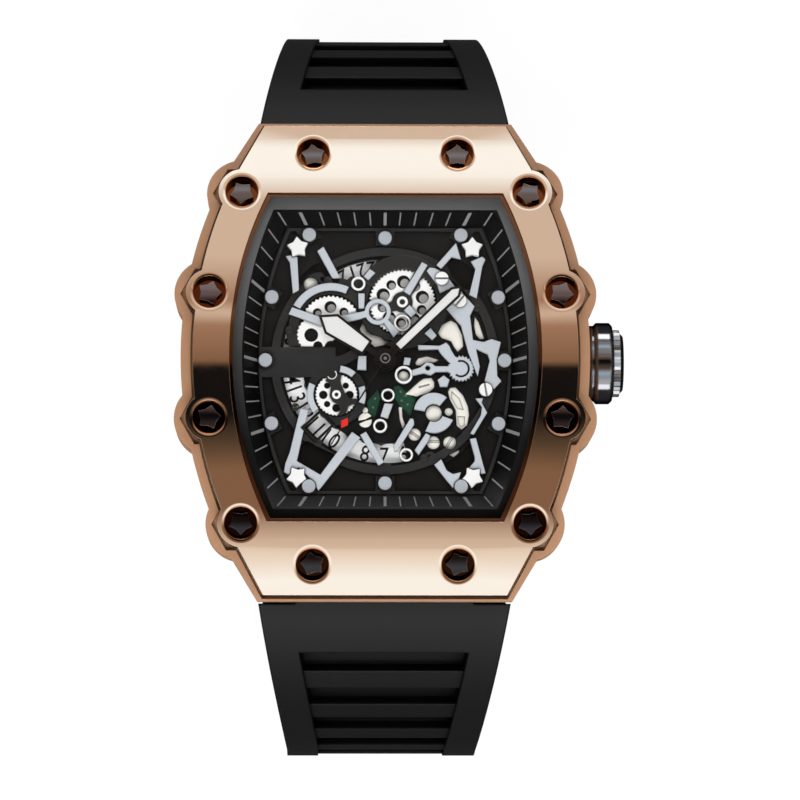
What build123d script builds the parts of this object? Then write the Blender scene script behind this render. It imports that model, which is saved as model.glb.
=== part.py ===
"""Tonneau wristwatch with a screwed, curved bezel, an open-worked dial and a
closed ladder strap, standing on its strap with the dial up.

Millimetres. +Z goes out of the dial, +Y to 12 o'clock and +X to the crown.
Every piece is drawn with z = 0 at the middle of the bezel's top and is then
raised by top_height, so that the origin lies on the surface that the strap
stands on, straight below the axis of the hands."""
from build123d import *
from math import atan2, cos, degrees, pi, radians, sin, sqrt
import os

# Case: plan of the case middle, and heights measured down from the bezel's top
case_half_width = 20.55
case_shoulder_x = 15.47
case_shoulder_y = 20.0
case_end_half_width = 12.85
case_half_length = 24.35
curve_radius = 70.0            # the bezel is part of a cylinder that lies along X
rim_drop = 1.4                 # from the bezel's top face to the rim round it
rim_skirt_depth = 7.3          # the bumped rim ends here
case_depth = 11.4              # the underside of the case middle
skirt_inset = 0.8
lobe_radius = 3.55             # bumps of the rim round the side screws
lobe_pocket_radius = 2.95      # six-sided pockets round the bezel's own bumps
rim_groove = 0.25              # dark gap between the bezel and the rim

# Bezel and its screws
bezel_thickness = 2.0
bezel_side_inset = 1.25
bezel_shoulder_inset = 0.75
bezel_end_inset = 0.5
bezel_corner_inset = 0.6
bezel_lobe_radius = 2.35
opening_half_width = 15.67
opening_corner_x = 11.85
opening_half_length = 16.65
opening_chamfer = 0.35
screw_places = ((7.3, 20.87), (14.48, 16.78), (17.66, 6.31))
well_radius = 1.65
well_depth = 1.1
star_radius = 1.25
star_waist_share = 0.7
star_thickness = 0.75
star_lobes = 5
star_turn = 6.0                # each screw stopped at another angle
screw_shank_radius = 0.65
screw_length = 3.4
end_screw_length = 1.7         # the screws over the strap's pocket are short
screw_fit = 0.02

# Crystal, gaskets, flange and minute ring
crystal_lip = 0.5              # of bezel above the crystal
crystal_thickness = 1.5
crystal_seat = 0.4             # how far the crystal goes under the bezel
gasket_wall = 0.2
bezel_gasket_width = 0.55
bezel_gasket_thickness = 0.4
part_gap = 0.05                # between a seated piece and the wall round it
flange_gap = 0.1               # between the crystal and the flange
flange_half_width = 14.4        # the flange's hole, round the minute ring
flange_corner_x = 11.3
flange_half_length = 15.2
ring_top_half_width = 14.2
ring_top_corner_x = 12.0
ring_top_half_length = 16.2
ring_half_width = 12.85        # foot of the minute ring, on the dial
ring_corner_x = 9.9
ring_half_length = 13.6
ring_top_depth = 2.2
minute_mark_width = 0.13
hour_mark_width = 0.3
mark_height = 0.05
minute_count = 60
marks_per_hour = 5
mark_end_depth = 5.2

# Cavity, dial and date disc
cavity_half_width = 15.4
cavity_corner_x = 11.9
cavity_half_length = 17.2
dial_depth = 5.55
dial_thickness = 0.5
inlay_height = 0.16
raised_height = 0.3
pocket_depth = 0.3
ivory_height = 0.16
stud_radius = 0.68
stud_height = 0.45
stud_tab_width = 1.9
stud_tab_length = 3.0
date_disc_inner = 8.3
date_disc_outer = 10.5
date_disc_depth = 6.2
date_disc_thickness = 0.25
date_gap = 0.1
date_teeth = 31
date_window_width = 2.1
date_window_height = 1.65
date_frame_wall = 0.25
date_window_turn = 44.0
bolt_radius = 1.12
bolt_height = 0.35
dial_border = 0.35
large_screw_height = 0.25

# Movement
plate_radius = 11.7
plate_bottom_depth = 8.4
bridge_thickness = 0.95
battery_radius = 4.75
battery_thickness = 1.95
battery_x = -5.4
battery_y = -3.6
clamp_thickness = 0.15
clamp_width = 2.4
coil_radius = 0.95
coil_length = 8.5
coil_core_radius = 0.45
circuit_thickness = 0.3
movement_depth = 10.6
movement_screw_radius = 0.7
movement_screw_head = 0.35
movement_screw_shank = 0.35
bridge_edge_x = 0.9
coil_x = 4.2
coil_y = 5.6
circuit_gap = 0.5

# Motion work: the cannon drives the minute wheel, whose pinion drives the hour wheel
motion_distance = 3.84
motion_angle = 205.0
cannon_teeth = 10
minute_wheel_teeth = 30
minute_pinion_teeth = 8
hour_wheel_teeth = 32
tip_share = 0.026              # tooth above the rolling circle, of the wheel distance
root_share = 0.052             # tooth below it
gear_thickness = 0.3
gear_gap = 0.08
wheel_level_gap = 0.4
minute_post_radius = 0.2
wheel_clearance = 0.3
arbor_radius = 0.13
running_gap = 0.03
pipe_wall = 0.17
hour_pipe_wall = 0.24

# Hands, pointing to 12 before they are turned
hand_thickness = 0.2
hour_hand_depth = 4.55
minute_hand_depth = 4.0
second_hand_depth = 3.45
second_hand_thickness = 0.12
hour_hand_length = 8.2
minute_hand_length = 10.9
second_hand_length = 10.3
hand_frame = 0.24
hour_lume_half_width = 0.95
minute_lume_half_width = 0.42
second_hand_half_width = 0.11
diamond_half_width = 0.42
diamond_half_length = 0.62
hour_hub_radius = 1.15
minute_hub_radius = 0.95
second_hub_radius = 0.7
lume_recess = 0.04
hour_hand_angle = 56.0         # anticlockwise from 12
minute_hand_angle = -46.0
second_hand_angle = -212.0

# Case back
back_thickness = 1.2
back_rim_width = 1.6
back_half_width = 18.2
back_corner_x = 14.6
back_half_length = 18.2
back_edge_chamfer = 0.35
back_screw_x = 15.3
back_screw_y = 12.6
back_screw_radius = 0.95
back_screw_head = 0.5
back_screw_shank = 0.5
back_screw_length = 2.2
slot_width = 0.3
slot_depth = 0.25
back_gasket_width = 0.6
back_gasket_thickness = 0.3

# Crown and stem, along X
stem_depth = 7.4
stem_radius = 0.5
stem_inner_x = 4.8
pinion_x = 6.1
pinion_length = 1.3
pinion_radius = 0.95
pinion_teeth = 12
tube_radius = 1.3
tube_overhang = 0.15
oring_radius = 0.95
oring_length = 0.6
crown_gap = 0.25
crown_radius = 4.14
crown_length = 2.25
crown_rim_length = 0.35
crown_bevel = 0.3
crown_neck = 0.1
grip_radius = 3.4
grip_length = 0.65
grip_notches = 30
grip_notch_radius = 0.17
cap_radius = 3.0
cap_height = 0.35
stem_end_cover = 0.4

# Strap: outer line of the closed loop, seen from the crown side
loop_radius = 38.7             # wide arc from the case down to the sides
foot_radius = 20.0             # tight arc from the sides to the flat foot
side_angle = 105.0             # from the top of the loop to where the arcs meet
strap_thickness = 3.8
strap_end_half_width = 13.0
strap_half_width = 10.0
strap_mid_half_width = 11.2
strap_mid_drop_share = 0.42
strap_taper_drop = 25.7
bar_y = 21.6
bar_depth = 8.9
bar_radius = 0.8
bar_gap = 0.05
head_radius = 2.4
head_gap = 0.25
shoulder_gap = 0.3
tongue_half_width = 9.0
pocket_half_width = 9.2
strap_open_angle = 20.0
heel_thickness = 1.0
heel_start_y = 18.4
heel_reach = 5.6
heel_gap = 0.06
lug_wall = 1.6
strap_tip_gap = 0.86           # between the tail's tip and the buckle's cross bar
strap_tip_radius = 2.5
ladder_offset = 8.35           # from the strap's start at the case to the first gap
ladder_gap = 3.1
ladder_pitch = 6.0
ladder_count = 6
ladder_depth = 1.3
ladder_rib_drop = 0.3
ladder_rail = 3.3
hole_count = 6
hole_pitch = 7.0
hole_start = 16.0
hole_radius = 1.1

# Buckle and keepers
buckle_bar_offset = 0.6        # from the end of the bend to the bar
buckle_bar_radius = 0.8
buckle_arm = 1.9
buckle_side_gap = 0.4
buckle_height = 3.2
buckle_arm_radius = 1.7
buckle_cross = 2.8
buckle_round = 0.8
buckle_reach = 12.6
tongue_width = 2.2
tongue_gap = 0.2
tongue_root_radius = 1.7
tongue_thickness = 1.1
tongue_floor = 0.15
keeper_wall = 1.1
keeper_gap = 0.3
keeper_tail_room = 4.1
keeper_length = 3.2
fixed_keeper_angle = 137.0
free_keeper_angle = 123.0

# Values that follow from the ones above
overrun = 1.0                  # every cut reaches this far past the solid
loop_start = degrees(atan2(bar_y, sqrt((loop_radius - head_radius) ** 2 - bar_y ** 2)))
loop_centre_depth = bar_depth + sqrt((loop_radius - head_radius) ** 2 - bar_y ** 2)
side_y = (loop_radius - foot_radius) * sin(radians(side_angle))
side_depth = loop_centre_depth - (loop_radius - foot_radius) * cos(radians(side_angle))
top_height = side_depth + foot_radius
stem_end_x = case_half_width + crown_gap + crown_length
motion_x = motion_distance * cos(radians(motion_angle))
motion_y = motion_distance * sin(radians(motion_angle))
plate_top_depth = dial_depth + dial_thickness
tube_outer = arbor_radius + running_gap + pipe_wall
cannon_inner = tube_outer + running_gap
cannon_outer = cannon_inner + pipe_wall
hour_pipe_inner = cannon_outer + running_gap
hour_pipe_outer = hour_pipe_inner + hour_pipe_wall
dial_hole_radius = hour_pipe_outer + part_gap
hour_wheel_depth = plate_top_depth + wheel_level_gap / 2
minute_wheel_depth = hour_wheel_depth + gear_thickness + wheel_level_gap
motion_floor_depth = minute_wheel_depth + gear_thickness + gear_gap
date_floor_depth = date_disc_depth + date_disc_thickness + date_gap
buckle_y = side_y - buckle_bar_offset
buckle_z = -top_height + strap_thickness / 2
strap_tip_y = buckle_y - buckle_reach - strap_tip_gap


def drop(y):
    """How far the bezel's cylinder has fallen at this distance from the middle."""
    return curve_radius - sqrt(curve_radius ** 2 - y ** 2)


def barrel(depth):
    """The solid under a cylinder concentric with the bezel's top face."""
    reach = case_half_width * 2 + overrun
    return Pos(0, 0, -curve_radius) * Rot(Y=90) * Cylinder(curve_radius - depth, reach * 2)


def slab(outline, top, bottom):
    """The outline extruded from one depth to another, both flat."""
    return extrude(Pos(0, 0, -bottom) * outline, amount=bottom - top, dir=(0, 0, 1))


def curved_plate(outline, top, bottom):
    """The outline as a plate between two cylinders concentric with the bezel's top."""
    block = slab(outline, -overrun, bottom + drop(case_half_length) + overrun)
    return (block & barrel(top)) - barrel(bottom)


def case_plan(grow=0, side=0, shoulder=0, end=0, corner=0):
    """Case outline with bulging sides and cut corners, grown or inset by parts."""
    shoulder_share, shoulder_rise_share, corner_share = 0.99, 0.3, 0.56
    mid_x = case_half_width - side + grow
    sx = case_shoulder_x - shoulder + grow * shoulder_share
    sy = case_shoulder_y - shoulder + grow * shoulder_rise_share
    ex = case_end_half_width - corner + grow * corner_share
    ey = case_half_length - end + grow
    edges = [ThreePointArc((sx, -sy), (mid_x, 0), (sx, sy)), Line((sx, sy), (ex, ey))]
    edges += [Line((ex, ey), (-ex, ey)), Line((-ex, ey), (-sx, sy))]
    edges += [ThreePointArc((-sx, sy), (-mid_x, 0), (-sx, -sy)), Line((-sx, -sy), (-ex, -ey))]
    edges += [Line((-ex, -ey), (ex, -ey)), Line((ex, -ey), (sx, -sy))]
    return make_face(edges)


def bezel_plan(grow=0):
    return case_plan(grow, bezel_side_inset, bezel_shoulder_inset, bezel_end_inset, bezel_corner_inset)


def tonneau(mid_x, corner_x, length):
    """Flat-ended barrel outline of the opening and of what lies under it."""
    right = ThreePointArc((corner_x, -length), (mid_x, 0), (corner_x, length))
    left = ThreePointArc((-corner_x, length), (-mid_x, 0), (-corner_x, -length))
    top = Line((corner_x, length), (-corner_x, length))
    bottom = Line((-corner_x, -length), (corner_x, -length))
    return make_face([right, top, left, bottom])


def opening(grow=0):
    return tonneau(opening_half_width + grow, opening_corner_x + grow, opening_half_length + grow)


def cavity_plan(grow=0):
    return tonneau(cavity_half_width + grow, cavity_corner_x + grow, cavity_half_length + grow)


def quadrants():
    return ((1, 1), (-1, 1), (-1, -1), (1, -1))


def all_screws():
    return [(x * sx, y * sy) for x, y in screw_places for sx, sy in quadrants()]


def side_screws():
    return [(x * sx, y * sy) for x, y in screw_places[1:] for sx, sy in quadrants()]


def shank_length(y):
    return end_screw_length if abs(y) == screw_places[0][1] else screw_length


def on_bezel(x, y, depth=0):
    """Place on the bezel's cylinder, square to it, at a depth below its top face."""
    turn = degrees(atan2(y, sqrt(curve_radius ** 2 - y ** 2)))
    reach = curve_radius - depth
    return Pos(x, reach * sin(radians(turn)), reach * cos(radians(turn)) - curve_radius) * Rot(X=-turn)


def fuse(shapes):
    """One solid out of several that touch."""
    shapes = list(shapes)
    result = shapes[0]
    for shape in shapes[1:]:
        result = result + shape
    return result


def group(shapes):
    return Compound(children=list(shapes))


def seated(shapes, carriers):
    """Pieces cut to lie on the ones that carry them."""
    return group(shape - carriers for shape in shapes)


def rod_x(radius, x0, x1, y, depth):
    return Pos((x0 + x1) / 2, y, -depth) * Rot(Y=90) * Cylinder(radius, abs(x1 - x0))


def post(radius, top, bottom, x=0, y=0):
    """Upright cylinder between two depths."""
    return Pos(x, y, -bottom) * extrude(Circle(radius), amount=bottom - top)


def ring(outer, inner, top, bottom, x=0, y=0):
    return Pos(x, y, -bottom) * extrude(Circle(outer) - Circle(inner), amount=bottom - top)


def polygon(points):
    return make_face(Polyline([Vector(*p) for p in points], close=True))


def star(radius, waist_share, lobes):
    points = []
    for i in range(lobes * 2):
        reach = radius * (1 if i % 2 == 0 else waist_share)
        turn = pi * i / lobes
        points.append((reach * sin(turn), reach * cos(turn)))
    return polygon(points)


def toothed(tip_radius, root_radius, teeth, phase=0.0):
    """Gear outline with pointed teeth; phase turns it by a part of one tooth."""
    points = []
    for i in range(teeth * 2):
        reach = tip_radius if i % 2 == 0 else root_radius
        turn = pi * (i + phase * 2) / teeth
        points.append((reach * cos(turn), reach * sin(turn)))
    return polygon(points)


def side_slab(face_yz, half_width):
    """A face drawn as (y, z) and extruded along X to both sides."""
    plane = Plane(origin=(0, 0, 0), x_dir=(0, 1, 0), z_dir=(1, 0, 0))
    return extrude(plane * face_yz, amount=half_width, both=True)


def bar_point(angle, reach):
    """A point round the strap bar; the angle is taken from straight up towards the loop's outside."""
    return (bar_y + reach * sin(radians(angle)), -bar_depth + reach * cos(radians(angle)))


def mirrored(shape, side):
    return shape if side > 0 else mirror(shape, about=Plane.XZ)


def strap_pocket():
    """Room in the case for the 12 o'clock strap's head, open outwards and down."""
    reach = head_radius + head_gap
    free = loop_start - strap_open_angle
    start_y, start_z = bar_point(free, reach)
    far_y = case_half_length + overrun
    far_z = start_z - (far_y - start_y) * sin(radians(free)) / cos(radians(free))
    low = -(case_depth + overrun)
    points = [(start_y, start_z), (far_y, far_z), (far_y, low), (bar_y - reach, low), (bar_y - reach, -bar_depth)]
    side = polygon(points) + Pos(bar_y, -bar_depth) * Circle(reach)
    return side_slab(side, pocket_half_width)


def lug_rounding():
    """What comes off the case below the rim, so that each lug ends as a round about the bar."""
    reach = head_radius + head_gap
    top = -(bezel_thickness + drop(case_half_length) + rim_drop / 2)
    far_y = case_half_length + overrun
    low = -(bar_depth + reach + overrun * 2)
    block = polygon([(bar_y, top), (far_y, top), (far_y, low), (bar_y, low)])
    return side_slab(block - Pos(bar_y, -bar_depth) * Circle(reach), case_half_width)


def case_middle():
    rim_plan = fuse([case_plan()] + [Pos(x, y) * Circle(lobe_radius) for x, y in side_screws()])
    body = slab(rim_plan, -overrun, rim_skirt_depth) + slab(case_plan(-skirt_inset), -overrun, case_depth)
    body = body & barrel(rim_drop)
    tray = [bezel_plan(rim_groove)] + [Pos(x, y) * RegularPolygon(lobe_pocket_radius, 6) for x, y in side_screws()]
    tray = slab(fuse(tray), -overrun, case_depth) - barrel(bezel_thickness)
    body = body - tray - slab(cavity_plan(), -overrun, case_depth + overrun)
    gasket_seat = cavity_plan(bezel_gasket_width * 2) - cavity_plan(bezel_gasket_width)
    body = body - curved_plate(gasket_seat, 0, bezel_thickness + bezel_gasket_thickness)
    back_seat = cavity_plan(back_gasket_width) - cavity_plan()
    body = body - slab(back_seat, case_depth - back_gasket_thickness, case_depth + overrun)
    for side in (1, -1):
        body = body - mirrored(strap_pocket(), side) - mirrored(lug_rounding(), side)
        bar_end = tongue_half_width + lug_wall
        body = body - rod_x(bar_radius + bar_gap, -bar_end, bar_end, bar_y * side, bar_depth)
    body = body - rod_x(tube_radius, 0, stem_end_x, 0, stem_depth)
    for x, y in all_screws():
        deep = shank_length(y)
        hole = on_bezel(x, y, well_depth) * Pos(0, 0, -deep / 2) * Cylinder(screw_shank_radius + screw_fit, deep)
        body = body - hole
    top = case_depth + back_thickness - back_screw_length
    for sx, sy in quadrants():
        x, y = back_screw_x * sx, back_screw_y * sy
        body = body - post(back_screw_shank + screw_fit, top, case_depth + overrun, x, y)
    return body


def bezel():
    plan = fuse([bezel_plan()] + [Pos(x, y) * Circle(bezel_lobe_radius) for x, y in side_screws()])
    body = curved_plate(plan, 0, bezel_thickness) - slab(opening(-opening_chamfer), -overrun, case_depth)
    body = body - curved_plate(opening(), -overrun, opening_chamfer)
    seat = slab(opening(crystal_seat + gasket_wall), -overrun, case_depth) & barrel(crystal_lip)
    body = body - seat
    for x, y in all_screws():
        well = on_bezel(x, y, well_depth) * extrude(Circle(well_radius), amount=well_depth + overrun)
        hole = on_bezel(x, y, bezel_thickness) * Cylinder(screw_shank_radius + screw_fit, bezel_thickness * 2)
        body = body - well - hole
    return body


def bezel_screws():
    head = extrude(star(star_radius, star_waist_share, star_lobes), amount=star_thickness)
    screws = []
    for i, (x, y) in enumerate(all_screws()):
        deep = shank_length(y)
        screw = head + Pos(0, 0, -deep / 2) * Cylinder(screw_shank_radius, deep)
        screws.append(on_bezel(x, y, well_depth) * Rot(Z=i * star_turn) * screw)
    return group(screws)


def bezel_gasket():
    outline = cavity_plan(bezel_gasket_width * 2 - part_gap) - cavity_plan(bezel_gasket_width + part_gap)
    return curved_plate(outline, bezel_thickness, bezel_thickness + bezel_gasket_thickness)


def crystal():
    return curved_plate(opening(crystal_seat), crystal_lip, crystal_lip + crystal_thickness)


def crystal_gasket():
    outline = opening(crystal_seat + gasket_wall) - opening(crystal_seat)
    return curved_plate(outline, crystal_lip, crystal_lip + crystal_thickness)


def ring_head(grow=0):
    return tonneau(ring_top_half_width + grow, ring_top_corner_x + grow, ring_top_half_length + grow)


def ring_hole(grow=0):
    """The tapering hole inside the minute ring, from the dial up."""
    foot = tonneau(ring_half_width + grow, ring_corner_x + grow, ring_half_length + grow)
    return loft([Pos(0, 0, -dial_depth) * foot, Pos(0, 0, -ring_top_depth) * ring_head(grow)], ruled=True)


def flange_top():
    return bezel_thickness + flange_gap


def flange_hole(grow=0):
    return tonneau(flange_half_width + grow, flange_corner_x + grow, flange_half_length + grow)


def minute_ring():
    """Black ring with the sloped minute track, its head curved like the crystal."""
    outline = slab(flange_hole(), 0, dial_depth) & barrel(flange_top())
    return outline - ring_hole() - slab(ring_head(), 0, ring_top_depth)


def inner_flange():
    outline = cavity_plan(-part_gap) - flange_hole()
    return slab(outline, 0, dial_depth) & barrel(flange_top())


def minute_marks():
    """Sixty raised marks on the slope of the minute ring, on rays from the centre."""
    skin = (ring_hole() - ring_hole(-mark_height)) & barrel(flange_top() + mark_height * 2)
    skin = skin & slab(flange_hole(-part_gap), 0, mark_end_depth)
    reach = ring_top_half_length * 2
    marks = []
    for i in range(minute_count):
        width = hour_mark_width if i % marks_per_hour == 0 else minute_mark_width
        ray = Rot(Z=360 / minute_count * i) * Pos(0, reach / 2) * Rectangle(width, reach)
        marks += (skin & slab(ray, 0, dial_depth)).solids()
    return group(marks)


def dial_polygon(shares):
    """Outline from shares of the dial's half length."""
    return polygon([(x * ring_half_length, y * ring_half_length) for x, y in shares])


def stud_places():
    """The twelve hour studs; their shares are of the minute ring's inner half sizes."""
    quarter_share = ((0.598, 0.941), (0.892, 0.473))
    places = [(0, 0.918), (0, -0.918), (0.941, 0), (-0.941, 0)]
    places += [(x * sx, y * sy) for x, y in quarter_share for sx, sy in quadrants()]
    return [(x * ring_half_width, y * ring_half_length) for x, y in places]


def hour_studs():
    base = dial_depth - raised_height
    return group(post(stud_radius, base - stud_height, base, x, y) for x, y in stud_places())


wheel_places_share = {
    "upper": (0.129, 0.44, 0.252),
    "left": (-0.403, 0.264, 0.229),
    "lower": (-0.361, -0.256, 0.16),
    "small": (-0.514, 0.195, 0.145),
}
rim_shares = {"upper": 1.38, "left": 1.36, "lower": 1.42}


def wheel_place(name):
    return [share * ring_half_length for share in wheel_places_share[name]]


def date_windows():
    """Sector windows that show the date disc under the dial."""
    window_angles = ((94, 119), (163, 176), (189, 247), (248, 283))
    inner, outer = date_disc_inner + date_gap, date_disc_outer - date_gap
    windows = []
    for start, stop in window_angles:
        turn = radians((start + stop) / 2)
        half = radians((stop - start) / 2)
        far = outer / cos(half) + overrun
        wedge = [(0, 0)]
        for side in (turn - half, turn + half):
            wedge.append((far * cos(side), far * sin(side)))
        windows.append((Circle(outer) - Circle(inner)) & polygon(wedge))
    return windows


def bar_outline(grow=0):
    """The black bar at 9 o'clock."""
    left, right, top, low = from_half(-0.93, -0.365, 0.1, -0.124)
    wide, high = right - left, top - low
    return Pos((left + right) / 2, (top + low) / 2) * Rectangle(wide + grow * 2, high + grow * 2)


def inside_ring():
    return tonneau(ring_half_width - part_gap, ring_corner_x - part_gap, ring_half_length - part_gap)


def raised_outlines():
    """Rims round the wheels, the rail round the date disc, bosses, the bar and the studs' tabs."""
    outlines = [bar_outline()]
    for name, rim_share in rim_shares.items():
        x, y, radius = wheel_place(name)
        outlines.append(Pos(x, y) * (Circle(radius * rim_share) - Circle(radius + part_gap * 2)))
    rail, rail_inner = from_half(0.85, 0.787)
    outlines.append(Circle(rail) - Circle(rail_inner))
    inner = [size - dial_border for size in (ring_half_width, ring_corner_x, ring_half_length)]
    outlines.append(inside_ring() - tonneau(*inner))
    for boss_share in ((0.003, -0.816, 0.055, 0.03), (0.334, -0.73, 0.05, 0.025), (-0.462, 0.611, 0.04, 0.02)):
        x, y, outer, hole = from_half(*boss_share)
        outlines.append(Pos(x, y) * (Circle(outer) - Circle(hole)))
    for x, y in stud_places():
        turn = degrees(atan2(y, x))
        tab = Pos(stud_tab_length / 4, 0) * Rectangle(stud_tab_length, stud_tab_width)
        outlines.append(Pos(x, y) * Rot(Z=turn) * tab)
    return outlines


def dial_plate():
    """Black open-worked plate with windows, pockets and raised rims, a bar and tabs."""
    low = dial_depth + dial_thickness
    outline = tonneau(cavity_half_width - part_gap, cavity_corner_x - part_gap, cavity_half_length - part_gap)
    plate = slab(outline, dial_depth, low)
    plate = plate - post(dial_hole_radius, dial_depth - overrun, low + overrun)
    clear = inside_ring() - date_frame_outline(part_gap)
    top = dial_depth - raised_height
    for shape in raised_outlines():
        plate = plate + slab(shape & clear, top, dial_depth + dial_thickness / 2)
    for window in date_windows():
        plate = plate - slab(window - bar_outline(), top - overrun, low + overrun)
    for name in wheel_places_share:
        x, y, radius = wheel_place(name)
        seat = Pos(x, y) * Circle(radius + part_gap * 2) - bar_outline()
        plate = plate - slab(seat, top - overrun, dial_depth)
    for shares in pocket_shares.values():
        plate = plate - slab(dial_polygon(shares) - bar_outline(), top - overrun, dial_depth + pocket_depth)
    for outline in ivory_outlines():
        seat = offset(outline, part_gap, kind=Kind.INTERSECTION)
        plate = plate - slab(seat, top - overrun, dial_depth + pocket_depth)
    return plate


pocket_shares = {
    "top_right": [(0.454, 0.726), (0.515, 0.772), (0.576, 0.757), (0.66, 0.695), (0.675, 0.649), (0.637, 0.534),
                  (0.584, 0.534), (0.5, 0.626)],
    "low_left": [(-0.621, -0.624), (-0.58, -0.599), (-0.369, -0.705), (-0.45, -0.836), (-0.515, -0.828),
                 (-0.641, -0.755)],
    "low_right": [(0.444, -0.763), (0.533, -0.714), (0.638, -0.607), (0.663, -0.648), (0.659, -0.763),
                  (0.614, -0.804), (0.484, -0.836)],
    "top_left": [(-0.633, 0.626), (-0.549, 0.711), (-0.426, 0.765), (-0.396, 0.618), (-0.426, 0.611),
                 (-0.48, 0.665), (-0.594, 0.64), (-0.625, 0.534)],
    "centre_low": [(0.055, -0.185), (0.105, -0.175), (0.2, -0.256), (0.233, -0.285), (0.19, -0.42), (0.1, -0.33),
                   (0.075, -0.29)],
    "centre_left": [(-0.14, -0.31), (-0.05, -0.2), (-0.03, -0.28), (-0.07, -0.42), (-0.12, -0.42)],
}


ivory_shares = {
    "bean": [(0.484, -0.199), (0.525, -0.195), (0.582, -0.256), (0.618, -0.338), (0.626, -0.403), (0.614, -0.477),
             (0.57, -0.513), (0.533, -0.485), (0.526, -0.37), (0.484, -0.289), (0.468, -0.231)],
    "train_low": [(0.151, -0.248), (0.257, -0.15), (0.289, -0.13), (0.346, -0.125), (0.367, -0.158),
                  (0.367, -0.199), (0.322, -0.24), (0.265, -0.256), (0.233, -0.268), (0.2, -0.256)],
    "train_top": [(0.225, -0.011), (0.249, 0.022), (0.314, 0.037), (0.403, 0.01), (0.371, -0.009), (0.298, -0.012),
                  (0.265, -0.035), (0.233, -0.031)],
    "lobe": [(0.393, 0.211), (0.423, 0.272), (0.492, 0.307), (0.534, 0.284), (0.576, 0.195), (0.584, 0.111),
             (0.542, 0.068), (0.515, 0.103), (0.492, 0.149), (0.423, 0.172)],
    "sliver": [(0.668, 0.338), (0.698, 0.295), (0.74, 0.168), (0.706, 0.164), (0.675, 0.203), (0.664, 0.264)],
    "low_sliver": [(0.472, -0.701), (0.553, -0.663), (0.551, -0.685), (0.509, -0.72)],
    "strip": [(0.099, -0.342), (0.127, -0.346), (0.131, -0.419), (0.15, -0.477), (0.131, -0.509), (0.109, -0.436)],
    "wheel_end": [(-0.163, 0.285), (-0.148, 0.261), (-0.136, 0.226), (-0.09, 0.195), (-0.029, 0.18), (-0.01, 0.157),
                  (0.04, 0.149), (-0.014, 0.118), (-0.075, 0.103), (-0.16, 0.18), (-0.19, 0.24)],
}
ivory_slots_share = {
    "bean": ([(0.497, -0.225), (0.555, -0.28), (0.585, -0.365), (0.538, -0.354), (0.492, -0.272)],
             [(0.541, -0.412), (0.594, -0.415), (0.59, -0.48), (0.563, -0.493), (0.545, -0.468)]),
    "train_low": ([(0.25, -0.19), (0.33, -0.17), (0.33, -0.18), (0.255, -0.2)],),
}
ivory_rounds_share = ((-0.551, 0.572, 0.055), (-0.054, 0.36, 0.055), (0.129, 0.275, 0.036), (0.139, -0.115, 0.04),
                      (0.363, -0.391, 0.06), (0.474, -0.38, 0.031), (0.22, -0.55, 0.047), (0.36, -0.611, 0.049),
                      (0.482, -0.611, 0.049))


def ivory_outlines():
    """Ivory train parts that show through openings in the dial."""
    outlines = [dial_polygon(shares) for shares in ivory_shares.values()]
    for round_share in ivory_rounds_share:
        x, y, radius = from_half(*round_share)
        outlines.append(Pos(x, y) * Circle(radius))
    return outlines


def ivory_train():
    """The ivory parts on the floors of their pockets, with their slots."""
    low = dial_depth + pocket_depth
    slots = [dial_polygon(shares) for group_share in ivory_slots_share.values() for shares in group_share]
    bars_share = ((0.22, -0.55, -35), (0.36, -0.6, 0), (0.482, -0.6, 60))
    length, width = from_half(0.12, 0.018)
    for *place_share, turn in bars_share:
        x, y = from_half(*place_share)
        slots.append(Pos(x, y) * Rot(Z=turn) * Rectangle(length, width))
    cut = [slab(slot, low - ivory_height - overrun, low - ivory_height / 2) for slot in slots]
    return group(slab(outline, low - ivory_height, low) - cut for outline in ivory_outlines())


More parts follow.
